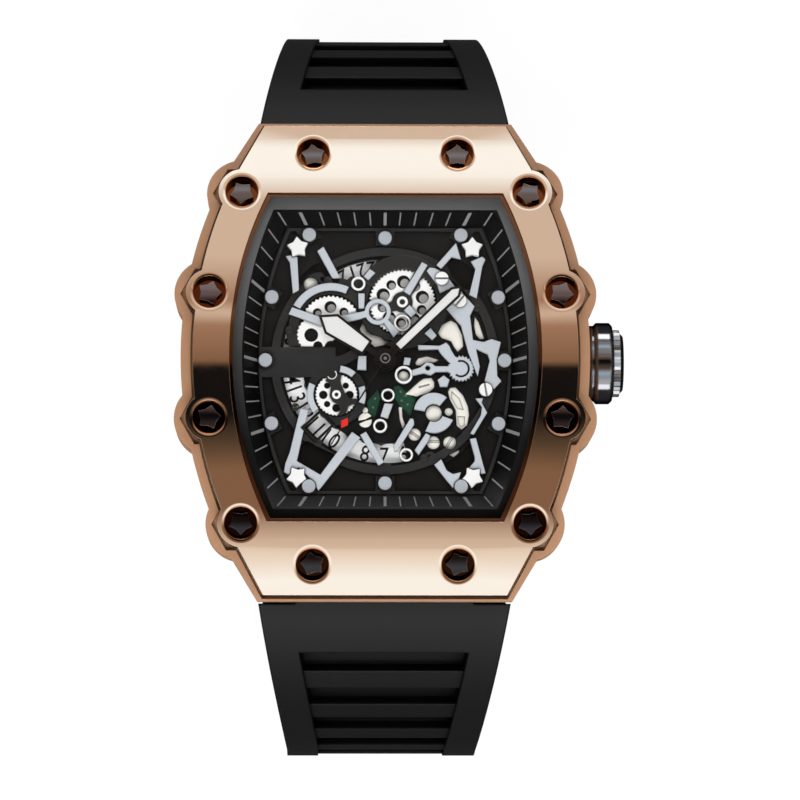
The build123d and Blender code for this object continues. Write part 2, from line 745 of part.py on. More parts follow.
inlay_shares = {
    "scroll_bridge": [(0.557, 0.532), (0.668, 0.405), (0.633, 0.336), (0.656, 0.155), (0.733, 0.14), (0.793, 0.163),
                      (0.863, 0.14), (0.832, 0.009), (0.835, -0.114), (0.866, -0.152), (0.81, -0.214),
                      (0.74, -0.152), (0.779, 0.001), (0.763, 0.048), (0.679, 0.086), (0.706, -0.046),
                      (0.69, -0.118), (0.671, -0.076), (0.618, 0.062), (0.565, 0.263), (0.457, 0.386)],
    "top_left_bar": [(-0.74, 0.782), (-0.699, 0.788), (-0.653, 0.774), (-0.64, 0.525), (-0.687, 0.499),
                     (-0.71, 0.734)],
    "top_left_strip": [(-0.506, 0.821), (-0.459, 0.855), (-0.332, 0.619), (-0.393, 0.616)],
    "top_right_hook": [(0.382, 0.717), (0.529, 0.885), (0.542, 0.842), (0.566, 0.761), (0.496, 0.777),
                       (0.418, 0.687)],
    "top_right_bar": [(0.64, 0.744), (0.724, 0.782), (0.749, 0.761), (0.726, 0.707), (0.683, 0.465),
                      (0.626, 0.492), (0.673, 0.687)],
    "top_strip": [(0.275, 0.74), (0.318, 0.717), (0.185, 0.488), (0.138, 0.518)],
    "low_left_fork": [(-0.629, -0.359), (-0.569, -0.373), (-0.653, -0.753), (-0.479, -0.854), (-0.245, -0.534),
                      (-0.182, -0.578), (-0.493, -0.975), (-0.539, -0.894), (-0.64, -0.8), (-0.713, -0.854),
                      (-0.749, -0.833), (-0.74, -0.773), (-0.706, -0.685)],
    "low_strip": [(-0.185, -0.557), (-0.141, -0.531), (-0.004, -0.76), (-0.048, -0.787)],
    "low_right_hook": [(0.418, -0.736), (0.458, -0.821), (0.504, -0.847), (0.565, -0.833), (0.545, -0.894),
                       (0.504, -0.954), (0.365, -0.779)],
    "low_right_bar": [(0.629, -0.585), (0.676, -0.578), (0.746, -0.84), (0.712, -0.847), (0.692, -0.807),
                      (0.612, -0.814), (0.665, -0.753), (0.665, -0.719)],
    "top_block": [(-0.16, 0.63), (-0.115, 0.688), (-0.071, 0.657), (-0.125, 0.601)],
    "short_bar": [(-0.201, 0.503), (-0.15, 0.503), (-0.155, 0.389), (-0.197, 0.389)],
    "screw_plate": [(0.309, 0.672), (0.332, 0.699), (0.37, 0.695), (0.454, 0.649), (0.519, 0.557), (0.408, 0.503),
                    (0.389, 0.565)],
    "block_by_hand": [(0.339, 0.245), (0.385, 0.188), (0.351, 0.153), (0.293, 0.203)],
    "block_by_wheel": [(0.139, 0.376), (0.183, 0.418), (0.236, 0.361), (0.194, 0.322)],
    "ring_stub": [(0.145, 0.024), (0.194, 0.018), (0.182, -0.035), (0.134, -0.034)],
    "long_bar": [(0.062, -0.64), (0.188, -0.432), (0.212, -0.436), (0.218, -0.477), (0.091, -0.679),
                 (0.07, -0.681)],
    "short_low_bar": [(0.304, -0.542), (0.338, -0.562), (0.318, -0.607), (0.249, -0.707), (0.22, -0.669),
                      (0.261, -0.607)],
    "link_bar": [(-0.004, -0.321), (0.061, -0.325), (0.02, -0.435), (-0.035, -0.42)],
    "centre_block": [(-0.199, 0.034), (-0.138, 0.034), (-0.138, -0.072), (-0.207, -0.069)],
    "right_link": [(0.672, -0.282), (0.719, -0.349), (0.712, -0.41), (0.632, -0.545), (0.659, -0.554),
                   (0.76, -0.389), (0.719, -0.315), (0.729, -0.282)],
}


eye_arms_share = (
    [(-0.692, 0.399), (-0.718, 0.345), (-0.48, 0.261), (-0.258, 0.291), (-0.13, 0.326), (-0.13, 0.376),
     (-0.27, 0.345), (-0.472, 0.322)],
    [(-0.014, 0.29), (0.063, 0.171), (0.108, 0.218), (0.01, 0.32)],
)


def inlay_depth():
    """Top of everything that stands on the dial at the bridges' height."""
    return dial_depth - raised_height - inlay_height


def from_half(*shares):
    """Lengths from shares of the dial's half length."""
    return [share * ring_half_length for share in shares]


def bolt_outlines(grow=0):
    """Outlines of the four lobed bolts, each cut off beside its stud."""
    waist_share = 0.64
    x, upper, lower = from_half(0.65, 0.845, -0.872)
    outlines = []
    for turn, sx, y in ((0, 1, upper), (6, -1, upper), (-41, -1, lower), (-41, 1, lower)):
        outlines.append(Pos(x * sx, y) * Rot(Z=turn) * star(bolt_radius + grow, waist_share, star_lobes))
    studs = [Pos(x, y) * Circle(stud_radius + part_gap) for x, y in stud_places()]
    return [outline - studs for outline in outlines]


def eye_bridge():
    """Ring with two arms that lies over the left wheel."""
    x, y, outer, hole = from_half(-0.054, 0.365, 0.098, 0.065)
    outline = Pos(x, y) * Circle(outer)
    for shares in eye_arms_share:
        outline = outline + dial_polygon(shares)
    return outline - Pos(x, y) * Circle(hole)


def dial_inlays():
    """The open-worked bridges, the small blocks between them and the arcs on the rims."""
    holes = bolt_outlines(part_gap) + [date_frame_outline(part_gap)]
    holes += [Pos(x, y) * Circle(stud_radius + part_gap) for x, y in stud_places()]
    outlines = [dial_polygon(shares) for shares in inlay_shares.values()] + [eye_bridge()]
    return [slab(outline - holes, inlay_depth(), dial_depth) for outline in outlines] + dial_arcs()


def dial_wheel(name, teeth, holes, first_turn=0):
    """Toothed ornament wheel with large and small holes by turns and a wide hub opening."""
    x, y, radius = wheel_place(name)
    tooth_share, hole_ring_share, hub_share = 0.93, 0.61, 0.3
    hole_shares = (0.19, 0.14)
    outline = toothed(radius, radius * tooth_share, teeth) - Circle(radius * hub_share)
    for i in range(holes):
        place = Rot(Z=first_turn + 360 / holes * i) * Pos(radius * hole_ring_share, 0)
        outline = outline - place * Circle(radius * hole_shares[i % len(hole_shares)])
    return Pos(x, y) * outline


def lay_wheel(outline):
    return slab(outline, dial_depth - inlay_height, dial_depth)


def left_wheels():
    """The left wheel, cut off under the eye bridge, and the small one that shows below the bridge."""
    below = dial_polygon([(-0.8, 0.35), (-0.476, 0.3), (-0.13, 0.36), (-0.13, 0), (-0.8, 0)])
    above = dial_polygon([(-0.8, 0.34), (-0.476, 0.29), (-0.3, 0.315), (-0.3, 0.7), (-0.8, 0.7)])
    x, y, radius = wheel_place("small")
    tooth_share = 0.92
    small = Pos(x, y) * toothed(radius, radius * tooth_share, 28)
    for hole_share in ((-0.549, 0.192, 0.05), (-0.499, 0.111, 0.034), (-0.403, 0.104, 0.045)):
        hole_x, hole_y, hole = from_half(*hole_share)
        small = small - Pos(hole_x, hole_y) * Circle(hole)
    small = small - above - bar_outline(part_gap)
    large = dial_wheel("left", 42, 8, 1.5) - below
    return group(lay_wheel(outline) for outline in (large, small))


def dial_screws():
    """Three slotted screws on the bridges."""
    places_share = ((0.423, 0.615), (0.557, 0.449), (0.748, -0.218))
    slot_turn = 50
    low = inlay_depth()
    screws = []
    for i, place_share in enumerate(places_share):
        x, y = from_half(*place_share)
        head = post(stud_radius, low - large_screw_height, low, x, y)
        slot = Pos(x, y) * Rot(Z=i * slot_turn) * Rectangle(stud_radius * 3, slot_width / 2)
        screws.append(head - slab(slot, low - large_screw_height - overrun, low - large_screw_height / 2))
    return group(screws)


def star_bolts():
    """Four five-lobed bolts near the dial's corners."""
    top = inlay_depth() - bolt_height
    return [slab(outline, top, dial_depth) for outline in bolt_outlines()]


def jewel_settings():
    """Raised rings of several sizes round the jewels; the third share is the hole's, of the ring."""
    rings_share = ((-0.199, 0.576, 0.0535, 0.66), (0.139, -0.107, 0.0666, 0.73), (0.022, -0.26, 0.05, 0.7),
                   (-0.036, -0.489, 0.052, 0.68), (0.158, -0.705, 0.05, 0.68), (0.129, 0.282, 0.063, 0.76),
                   (0.129, 0.44, 0.042, 0.48), (-0.361, -0.256, 0.034, 0.4))
    rings = []
    for *place_share, hole_share in rings_share:
        x, y, radius = from_half(*place_share)
        rings.append(ring(radius, radius * hole_share, inlay_depth(), dial_depth, x, y))
    return rings


def arc_band(radius, width, start, stop):
    """Part of a flat ring between two angles."""
    a, b = radians(start), radians(stop)
    outer, inner = radius + width / 2, radius - width / 2

    def at(reach, turn):
        return (reach * cos(turn), reach * sin(turn))

    mid = (a + b) / 2
    edges = [ThreePointArc(at(outer, a), at(outer, mid), at(outer, b)), Line(at(outer, b), at(inner, b))]
    edges += [ThreePointArc(at(inner, b), at(inner, mid), at(inner, a)), Line(at(inner, a), at(outer, a))]
    return make_face(edges)


def dial_arcs():
    """Arcs on the raised rims of the left and lower wheels."""
    bands_share = (("left", 0.288, 0.058, 65, 152), ("lower", 0.195, 0.05, 49, 82), ("lower", 0.195, 0.05, 156, 219),
                   ("lower", 0.195, 0.05, 341, 378))
    bands = []
    for name, radius_share, width_share, start, stop in bands_share:
        x, y, _ = wheel_place(name)
        band = Pos(x, y) * arc_band(*from_half(radius_share, width_share), start, stop)
        bands.append(slab(band, inlay_depth(), dial_depth))
    return bands


def split_ring():
    """Two sectors of a ring round a disc, standing on the dial."""
    x, y, radius, width = from_half(0.363, -0.391, 0.109, 0.084)
    sectors = [(50, 170), (245, 340)]
    return [slab(Pos(x, y) * arc_band(radius, width, a, b), inlay_depth(), dial_depth) for a, b in sectors]


lever_share = [(0.244, 0.117), (0.248, 0.08), (0.396, 0.084), (0.408, 0.061), (0.423, 0.041), (0.5, -0.04),
               (0.54, 0.0), (0.492, 0.08), (0.48, 0.11), (0.454, 0.135), (0.404, 0.111)]
ring_lever_share = [(0.2, -0.072), (0.265, -0.05), (0.306, -0.012), (0.346, -0.019), (0.375, -0.042),
                    (0.5, -0.042), (0.5, -0.084), (0.375, -0.086), (0.342, -0.11), (0.289, -0.096),
                    (0.2, -0.115)]


def lever_pinion():
    """Toothed pinion with a C-shaped slot and two levers, and a lobed hub beside it."""
    x, y, tip, root, hole_x, hole_y, hole = from_half(0.565, -0.06, 0.102, 0.086, 0.318, -0.056, 0.018)
    slot_radius, slot_band = from_half(0.058, 0.012)
    teeth, waist_share = 22, 0.8
    slot = arc_band(slot_radius, slot_band, 230, 470)
    outline = Pos(x, y) * (toothed(tip, root, teeth) - slot)
    outline = outline + (dial_polygon(lever_share) + dial_polygon(ring_lever_share) - Pos(x, y) * Circle(root))
    outline = outline - Pos(hole_x, hole_y) * Circle(hole)
    hub_x, hub_y, hub_radius = from_half(0.436, -0.158, 0.047)
    hub = Pos(hub_x, hub_y) * star(hub_radius, waist_share, star_lobes)
    return [slab(outline, inlay_depth(), dial_depth), slab(hub, inlay_depth(), dial_depth)]


def date_frame_outline(grow=0):
    x, y = from_half(-0.499, -0.493)
    wide = date_window_width + (date_frame_wall + grow) * 2
    high = date_window_height + (date_frame_wall + grow) * 2
    return Pos(x, y) * Rot(Z=date_window_turn) * Rectangle(wide, high)


def date_frame():
    """Frame round the date window at the lower left, turned to face the centre."""
    outline = date_frame_outline() - date_frame_outline(-date_frame_wall)
    return slab(outline, inlay_depth(), dial_depth)


def date_disc():
    """Date ring with an inner tooth for each day, in a channel of the main plate."""
    tooth_share = 0.12
    tooth = (date_disc_outer - date_disc_inner) * tooth_share
    outline = Circle(date_disc_outer) - toothed(date_disc_inner + tooth, date_disc_inner, date_teeth)
    return slab(outline, date_disc_depth, date_disc_depth + date_disc_thickness)


hour_window_shares = (0.79, 0.29, 0.68)      # shoulder and base of its length, waist of its width
minute_window_shares = (0.9, 0.17, 0.85)


def lume_window(length, half_width, shares):
    """Opening of a hand, pointed at the tip and narrowing to the base."""
    shoulder_share, base_share, waist_share = shares
    tip, shoulder, base = length - hand_frame * 2, length * shoulder_share, length * base_share
    waist = half_width * waist_share
    return polygon([(0, tip), (half_width, shoulder), (waist, base), (-waist, base), (-half_width, shoulder)])


def hour_window():
    return lume_window(hour_hand_length, hour_lume_half_width, hour_window_shares)


def minute_window():
    return lume_window(minute_hand_length, minute_lume_half_width, minute_window_shares)


def hand(window, hub_radius, hole_radius, depth, angle):
    """Frame round the window, with a stalk and a hub on its pipe."""
    base = window.bounding_box().min.Y
    stalk = polygon([(-hand_frame, 0), (hand_frame, 0), (hand_frame, base), (-hand_frame, base)])
    frame = offset(window, hand_frame, kind=Kind.INTERSECTION) + Circle(hub_radius) + stalk
    return Rot(Z=angle) * slab(frame - window - Circle(hole_radius), depth, depth + hand_thickness)


def hour_hand():
    return hand(hour_window(), hour_hub_radius, hour_pipe_outer, hour_hand_depth, hour_hand_angle)


def minute_hand():
    return hand(minute_window(), minute_hub_radius, cannon_outer, minute_hand_depth, minute_hand_angle)


def hour_lume():
    return Rot(Z=hour_hand_angle) * slab(hour_window(), hour_hand_depth + lume_recess, hour_hand_depth + hand_thickness)


def minute_lume():
    bottom = minute_hand_depth + hand_thickness
    return Rot(Z=minute_hand_angle) * slab(minute_window(), minute_hand_depth + lume_recess, bottom)


def second_hand():
    """Thin needle with a counterweight end and a capped hub on its arbor."""
    tail_share, collar_share = 0.22, 0.7
    half, tail = second_hand_half_width, second_hand_length * tail_share
    needle = polygon([(-half / 2, second_hand_length), (half / 2, second_hand_length), (half, -tail), (-half, -tail)])
    body = slab(needle + Circle(second_hub_radius), second_hand_depth, second_hand_depth + second_hand_thickness)
    body = body + post(second_hub_radius * collar_share, second_hand_depth - hand_thickness, second_hand_depth)
    socket = post(arbor_radius, second_hand_depth, second_hand_depth + second_hand_thickness)
    return Rot(Z=second_hand_angle) * (body - socket)


def second_hand_diamond():
    place_share = 0.75
    centre = second_hand_length * place_share
    width, length = diamond_half_width, diamond_half_length
    shape = polygon([(0, centre + length), (width, centre), (0, centre - length), (-width, centre)])
    return Rot(Z=second_hand_angle) * slab(shape, second_hand_depth - second_hand_thickness, second_hand_depth)


def second_arbor():
    return post(arbor_radius, second_hand_depth, plate_bottom_depth - part_gap)


def gear(pitch_share, teeth, toward, tooth_first=True):
    """Pointed-tooth gear turned so that a tooth or a gap faces its partner."""
    pitch = motion_distance * pitch_share
    tip, root = pitch + motion_distance * tip_share, pitch - motion_distance * root_share
    return Rot(Z=toward) * toothed(tip, root, teeth, 0.0 if tooth_first else 0.5)


def pair_shares(small, large):
    """Shares of the wheel distance that two meshing gears' rolling circles take."""
    return small / (small + large), large / (small + large)


def cannon_pinion():
    """Minute hand's pipe with the pinion that drives the motion work."""
    share, _ = pair_shares(cannon_teeth, minute_wheel_teeth)
    teeth = slab(gear(share, cannon_teeth, motion_angle), minute_wheel_depth, minute_wheel_depth + gear_thickness)
    pipe = post(cannon_outer, minute_hand_depth, minute_wheel_depth + gear_thickness)
    return teeth + pipe - post(cannon_inner, 0, plate_bottom_depth)


def hour_wheel():
    """Hour hand's pipe and wheel, turning on the cannon pinion."""
    _, share = pair_shares(minute_pinion_teeth, hour_wheel_teeth)
    teeth = slab(gear(share, hour_wheel_teeth, motion_angle), hour_wheel_depth, hour_wheel_depth + gear_thickness)
    pipe = post(hour_pipe_outer, hour_hand_depth, hour_wheel_depth + gear_thickness)
    return teeth + pipe - post(hour_pipe_inner, 0, plate_bottom_depth)


def minute_wheel():
    """Wheel and pinion on a fixed post beside the centre."""
    _, wheel_share = pair_shares(cannon_teeth, minute_wheel_teeth)
    pinion_share, _ = pair_shares(minute_pinion_teeth, hour_wheel_teeth)
    toward = motion_angle + 180
    low = minute_wheel_depth + gear_thickness
    wheel = slab(gear(wheel_share, minute_wheel_teeth, toward, False), minute_wheel_depth, low)
    pinion = slab(gear(pinion_share, minute_pinion_teeth, toward, False), hour_wheel_depth, minute_wheel_depth)
    bore = post(minute_post_radius + running_gap, 0, plate_bottom_depth)
    return Pos(motion_x, motion_y) * (wheel + pinion - bore)


def main_plate():
    """Round plate with the date channel, the motion work's recess and its fixed posts."""
    body = post(plate_radius, plate_top_depth, plate_bottom_depth)
    channel_outer, channel_inner = date_disc_outer + date_gap, date_disc_inner - date_gap
    body = body - ring(channel_outer, channel_inner, plate_top_depth - overrun, date_floor_depth)
    for share, x, y in ((pair_shares(minute_pinion_teeth, hour_wheel_teeth)[1], 0, 0),
                        (pair_shares(cannon_teeth, minute_wheel_teeth)[1], motion_x, motion_y)):
        reach = motion_distance * (share + tip_share) + wheel_clearance
        body = body - post(reach, plate_top_depth - overrun, motion_floor_depth, x, y)
    body = body - rod_x(stem_radius + running_gap, stem_inner_x - crown_gap, plate_radius + overrun, 0, stem_depth)
    half = pinion_radius + wheel_clearance
    middle = pinion_x + pinion_length / 2
    slot = Pos(middle, 0) * Rectangle(pinion_length + part_gap * 2, half * 2)
    body = body - slab(slot, stem_depth - pinion_radius - date_gap, plate_bottom_depth + overrun)
    tube = post(tube_outer, second_hand_depth + second_hand_thickness + gear_gap, plate_bottom_depth)
    body = body + tube + post(minute_post_radius, hour_wheel_depth, plate_bottom_depth, motion_x, motion_y)
    return body - post(arbor_radius + running_gap, 0, plate_bottom_depth + overrun)


def movement_ring():
    """Holder that centres the round movement in the tonneau cavity."""
    body = slab(cavity_plan(-part_gap), plate_top_depth, movement_depth)
    body = body - post(plate_radius + part_gap, plate_top_depth - overrun, movement_depth + overrun)
    return body - rod_x(stem_radius + running_gap, 0, stem_end_x, 0, stem_depth)


def battery():
    top = plate_bottom_depth + part_gap
    return post(battery_radius, top, top + battery_thickness, battery_x, battery_y)


def battery_clamp():
    """Spring strip across the battery with a foot on the plate at one end."""
    top = plate_bottom_depth + part_gap + battery_thickness
    reach = battery_radius + clamp_width / 2
    strip = Pos(battery_x, battery_y) * Rectangle(clamp_width, reach * 2)
    body = slab(strip, top, top + clamp_thickness)
    foot_y = battery_y + reach - clamp_thickness / 2
    foot = Pos(battery_x, foot_y) * Rectangle(clamp_width, clamp_thickness)
    return body + slab(foot, plate_bottom_depth, top + clamp_thickness)


def train_bridge():
    """Plate over the train on the crown's side, cut clear of the battery and the coil."""
    radius = plate_radius - wheel_clearance
    outline = Circle(radius) - Pos(battery_x, battery_y) * Circle(battery_radius + wheel_clearance)
    far = Pos(-radius + bridge_edge_x, 0) * Rectangle(radius * 2, radius * 3)
    outline = outline - far
    room = wheel_clearance * 2
    coil_room = Pos(coil_x, coil_y) * Rectangle(coil_length + room, coil_radius * 2 + room)
    body = slab(outline - coil_room, plate_bottom_depth, plate_bottom_depth + bridge_thickness)
    holes = [post(movement_screw_shank, 0, movement_depth, x, y) for x, y in movement_screw_places()]
    return body - holes


def movement_screw_places():
    turns = (-50, -14, 50)
    reach = plate_radius - movement_screw_radius * 2
    return [(reach * cos(radians(t)), reach * sin(radians(t))) for t in turns]


def movement_screws():
    screws = []
    low = plate_bottom_depth + bridge_thickness
    for x, y in movement_screw_places():
        head = post(movement_screw_radius, low, low + movement_screw_head, x, y)
        slot = Pos(x, y) * Rectangle(movement_screw_radius * 3, slot_width / 2)
        head = head - slab(slot, low + movement_screw_head / 2, low + movement_screw_head + overrun)
        screws.append(head + post(movement_screw_shank, plate_bottom_depth, low, x, y))
    return group(screws)


def coil():
    """Winding on a core whose ends rest on the plate."""
    winding_share = 0.8
    middle = plate_bottom_depth + coil_radius
    half = coil_length / 2 * winding_share
    body = rod_x(coil_radius, coil_x - half, coil_x + half, coil_y, middle)
    core = Pos(coil_x, coil_y) * Rectangle(coil_length, coil_core_radius * 2)
    return body + slab(core, plate_bottom_depth, middle + coil_core_radius)


def circuit_board():
    """Thin board on the plate between the battery and the rim."""
    radius = plate_radius - circuit_gap
    outline = Circle(radius) - Pos(battery_x, battery_y) * Circle(battery_radius + circuit_gap * 2)
    clamp_end = battery_y + battery_radius + clamp_width
    low, right = clamp_end + circuit_gap, coil_x - coil_length / 2 - circuit_gap
    outline = outline & polygon([(-radius, low), (right, low), (right, radius), (-radius, radius)])
    return slab(outline, plate_bottom_depth, plate_bottom_depth + circuit_thickness)


def case_back():
    """Flat screwed plate with an inner rim that holds the movement up."""
    outline = tonneau(back_half_width, back_corner_x, back_half_length)
    body = slab(outline, case_depth, case_depth + back_thickness)
    body = chamfer(body.faces().sort_by(Axis.Z)[0].outer_wire().edges(), back_edge_chamfer)
    rim = cavity_plan(-part_gap * 2) - cavity_plan(-back_rim_width)
    body = body + slab(rim, movement_depth + part_gap, case_depth)
    low = case_depth + back_thickness
    for sx, sy in quadrants():
        x, y = back_screw_x * sx, back_screw_y * sy
        body = body - post(back_screw_radius + part_gap, low - back_screw_head, low + overrun, x, y)
        body = body - post(back_screw_shank + screw_fit, case_depth - overrun, low, x, y)
    return body


def case_back_gasket():
    outline = cavity_plan(back_gasket_width - part_gap) - cavity_plan(part_gap)
    return slab(outline, case_depth - back_gasket_thickness, case_depth)


def case_back_screws():
    screws = []
    low = case_depth + back_thickness
    for sx, sy in quadrants():
        x, y = back_screw_x * sx, back_screw_y * sy
        head = post(back_screw_radius, low - back_screw_head, low - part_gap, x, y)
        slot = Pos(x, y) * Rectangle(back_screw_radius * 3, slot_width)
        head = head - slab(slot, low - slot_depth, low + overrun)
        screws.append(head + post(back_screw_shank, low - back_screw_length, low - back_screw_head, x, y))
    return group(screws)


def tube_end():
    return case_half_width + tube_overhang


def crown_tube():
    """Tube pressed into the case wall, with a counterbore for its seal."""
    body = rod_x(tube_radius, cavity_half_width, tube_end(), 0, stem_depth)
    body = body - rod_x(stem_radius + running_gap, 0, stem_end_x, 0, stem_depth)
    return body - rod_x(oring_radius, tube_end() - oring_length, tube_end() + overrun, 0, stem_depth)


def crown_seal():
    start = tube_end() - oring_length
    seal = rod_x(oring_radius, start, tube_end() - part_gap, 0, stem_depth)
    return seal - rod_x(stem_radius + running_gap, 0, stem_end_x, 0, stem_depth)


def stem():
    return rod_x(stem_radius, stem_inner_x, stem_end_x - stem_end_cover, 0, stem_depth)


def setting_pinion():
    """Toothed sleeve that the stem slides through and turns."""
    root_radius_share = 0.8
    outline = toothed(pinion_radius, pinion_radius * root_radius_share, pinion_teeth)
    body = Pos(pinion_x, 0, -stem_depth) * Rot(Y=90) * extrude(outline, amount=pinion_length)
    return body - rod_x(stem_radius + running_gap / 2, 0, stem_end_x, 0, stem_depth)


def crown_start():
    return case_half_width + crown_gap


def bevelled_rod(radius, x0, x1, bevel):
    body = rod_x(radius, x0, x1, 0, stem_depth)
    return chamfer(body.edges().filter_by(GeomType.CIRCLE), bevel)


def crown():
    """Polished barrel of the crown with the core that carries its rings and cap."""
    start = crown_start()
    body = bevelled_rod(crown_radius, start + crown_rim_length, start + crown_length, crown_bevel)
    core_end = start + crown_length + crown_neck + grip_length
    body = body + rod_x(cap_radius, start, core_end, 0, stem_depth)
    return body - rod_x(stem_radius, 0, stem_end_x - stem_end_cover, 0, stem_depth)


def crown_rim():
    start = crown_start()
    body = rod_x(crown_radius - crown_bevel, start, start + crown_rim_length, 0, stem_depth)
    return body - rod_x(cap_radius, 0, stem_end_x, 0, stem_depth)


def crown_grip():
    """Knurled ring at the crown's outer end."""
    start = crown_start() + crown_length + crown_neck
    outline = toothed(grip_radius, grip_radius - grip_notch_radius, grip_notches) - Circle(cap_radius)
    return Pos(start, 0, -stem_depth) * Rot(Y=90) * extrude(outline, amount=grip_length)


def crown_cap():
    start = crown_start() + crown_length + crown_neck + grip_length
    bevel_share = 0.6
    body = rod_x(cap_radius, start, start + cap_height, 0, stem_depth)
    rim = body.edges().filter_by(GeomType.CIRCLE).sort_by(Axis.X)[-1]
    return chamfer(rim, cap_height * bevel_share)


def loop_sector(outer, inner, start, stop, foot=False):
    """Part of the strap's ring on the wide arc, or on the foot's tight arc, as (y, z)."""
    centre_y, centre_z = (side_y, -side_depth) if foot else (0, -loop_centre_depth)
    base = foot_radius if foot else loop_radius

    def at(reach, turn):
        return (centre_y + reach * sin(radians(turn)), centre_z + reach * cos(radians(turn)))

    far, near, middle = base - outer, base - inner, (start + stop) / 2
    edges = [ThreePointArc(at(far, start), at(far, middle), at(far, stop)), Line(at(far, stop), at(near, stop))]
    edges += [ThreePointArc(at(near, stop), at(near, middle), at(near, start)), Line(at(near, start), at(far, start))]
    return make_face(edges)


def strap_width(rail=0):
    """The strap seen from its end: wide at the case and narrowing down the side."""
    top = -(bar_depth - head_radius * cos(radians(loop_start)))
    wide, middle, narrow = strap_end_half_width - rail, strap_mid_half_width - rail, strap_half_width - rail
    low, mid = top - strap_taper_drop, top - strap_taper_drop * strap_mid_drop_share
    floor = -(top_height + overrun)
    edges = [Line((wide, overrun), (wide, top)), ThreePointArc((wide, top), (middle, mid), (narrow, low))]
    edges += [Line((narrow, low), (narrow, floor)), Line((narrow, floor), (-narrow, floor))]
    edges += [Line((-narrow, floor), (-narrow, low)), ThreePointArc((-narrow, low), (-middle, mid), (-wide, top))]
    edges += [Line((-wide, top), (-wide, overrun)), Line((-wide, overrun), (wide, overrun))]
    plane = Plane(origin=(0, 0, 0), x_dir=(1, 0, 0), z_dir=(0, -1, 0))
    return extrude(plane * make_face(edges), amount=loop_radius * 2, both=True)


def ladder():
    """Cutters for the recess of the strap and the deeper gaps between its rungs."""
    start = loop_start + degrees(ladder_offset / loop_radius)
    gap, pitch = degrees(ladder_gap / loop_radius), degrees(ladder_pitch / loop_radius)
    stop = start + pitch * (ladder_count - 1) + gap
    cutter = side_slab(loop_sector(-overrun, ladder_rib_drop, start, stop), strap_end_half_width)
    for i in range(ladder_count):
        first = start + pitch * i
        cutter = cutter + side_slab(loop_sector(-overrun, ladder_depth, first, first + gap), strap_end_half_width)
    return cutter & strap_width(ladder_rail)


def strap_body(end_y):
    """One half of the strap, drawn on the 12 o'clock side, down to end_y on the foot."""
    floor = -top_height
    profile = loop_sector(0, strap_thickness, loop_start, side_angle)
    profile = profile + loop_sector(0, strap_thickness, side_angle, 180, foot=True)
    flat = [(side_y, floor), (side_y, floor + strap_thickness), (end_y, floor + strap_thickness), (end_y, floor)]
    body = side_slab(profile + polygon(flat), strap_end_half_width) & strap_width()
    shoulder = head_radius + head_gap + shoulder_gap
    for x in (tongue_half_width, -strap_end_half_width - overrun):
        length = strap_end_half_width + overrun - tongue_half_width
        body = body - rod_x(shoulder, x, x + length, bar_y, bar_depth)
    top = -(case_depth + heel_gap)
    far, low = heel_start_y + heel_reach, top - heel_thickness
    heel = [(heel_start_y, top), (far, top), (far, low), (heel_start_y + heel_thickness / 2, low)]
    head = Pos(bar_y, -bar_depth) * Circle(head_radius)
    body = body + side_slab(head, tongue_half_width) + side_slab(polygon(heel), tongue_half_width)
    body = body - rod_x(bar_radius + bar_gap, -case_half_width, case_half_width, bar_y, bar_depth)
    return body - ladder()


def strap_upper():
    """12 o'clock half: ends in a loop round the buckle's bar, notched for the tongue."""
    body = strap_body(buckle_y)
    knuckle = Pos(buckle_y, buckle_z) * Circle(strap_thickness / 2)
    body = body + side_slab(knuckle, strap_half_width)
    body = body - rod_x(buckle_bar_radius, -case_half_width, case_half_width, buckle_y, -buckle_z)
    notch = Pos(0, buckle_y) * Rectangle(tongue_width + tongue_gap * 2, (tongue_root_radius + tongue_gap * 2) * 2)
    return body - slab(notch, top_height - strap_thickness - overrun, top_height + overrun)


def strap_lower():
    """6 o'clock half: a longer tail with holes and a rounded tip."""
    body = strap_body(-strap_tip_y)
    tip = body.edges().filter_by(Axis.Z).sort_by(Axis.Y)[:2]
    body = fillet(tip, strap_tip_radius)
    for i in range(hole_count):
        along = hole_start + hole_pitch * i - strap_tip_y
        body = body - strap_hole(along)
    return mirror(body, about=Plane.XZ)


def strap_hole(along):
    """Round hole square to the strap, at a distance along its outside from the origin."""
    flat = side_y
    if along <= flat:
        place = Pos(0, along, -top_height)
    else:
        turn = 180 - degrees((along - flat) / foot_radius)
        reach = foot_radius
        y, z = side_y + reach * sin(radians(turn)), -side_depth + reach * cos(radians(turn))
        place = Pos(0, y, z) * Rot(X=180 - turn)
    return place * Cylinder(hole_radius, strap_thickness * 3)


def strap_bars():
    half = tongue_half_width + lug_wall
    return group(rod_x(bar_radius, -half, half, bar_y * side, bar_depth) for side in (1, -1))


def frame_half_width():
    return strap_half_width + buckle_side_gap + buckle_arm


def buckle_bar():
    half = frame_half_width() - part_gap
    return rod_x(buckle_bar_radius, -half, half, buckle_y, -buckle_z)


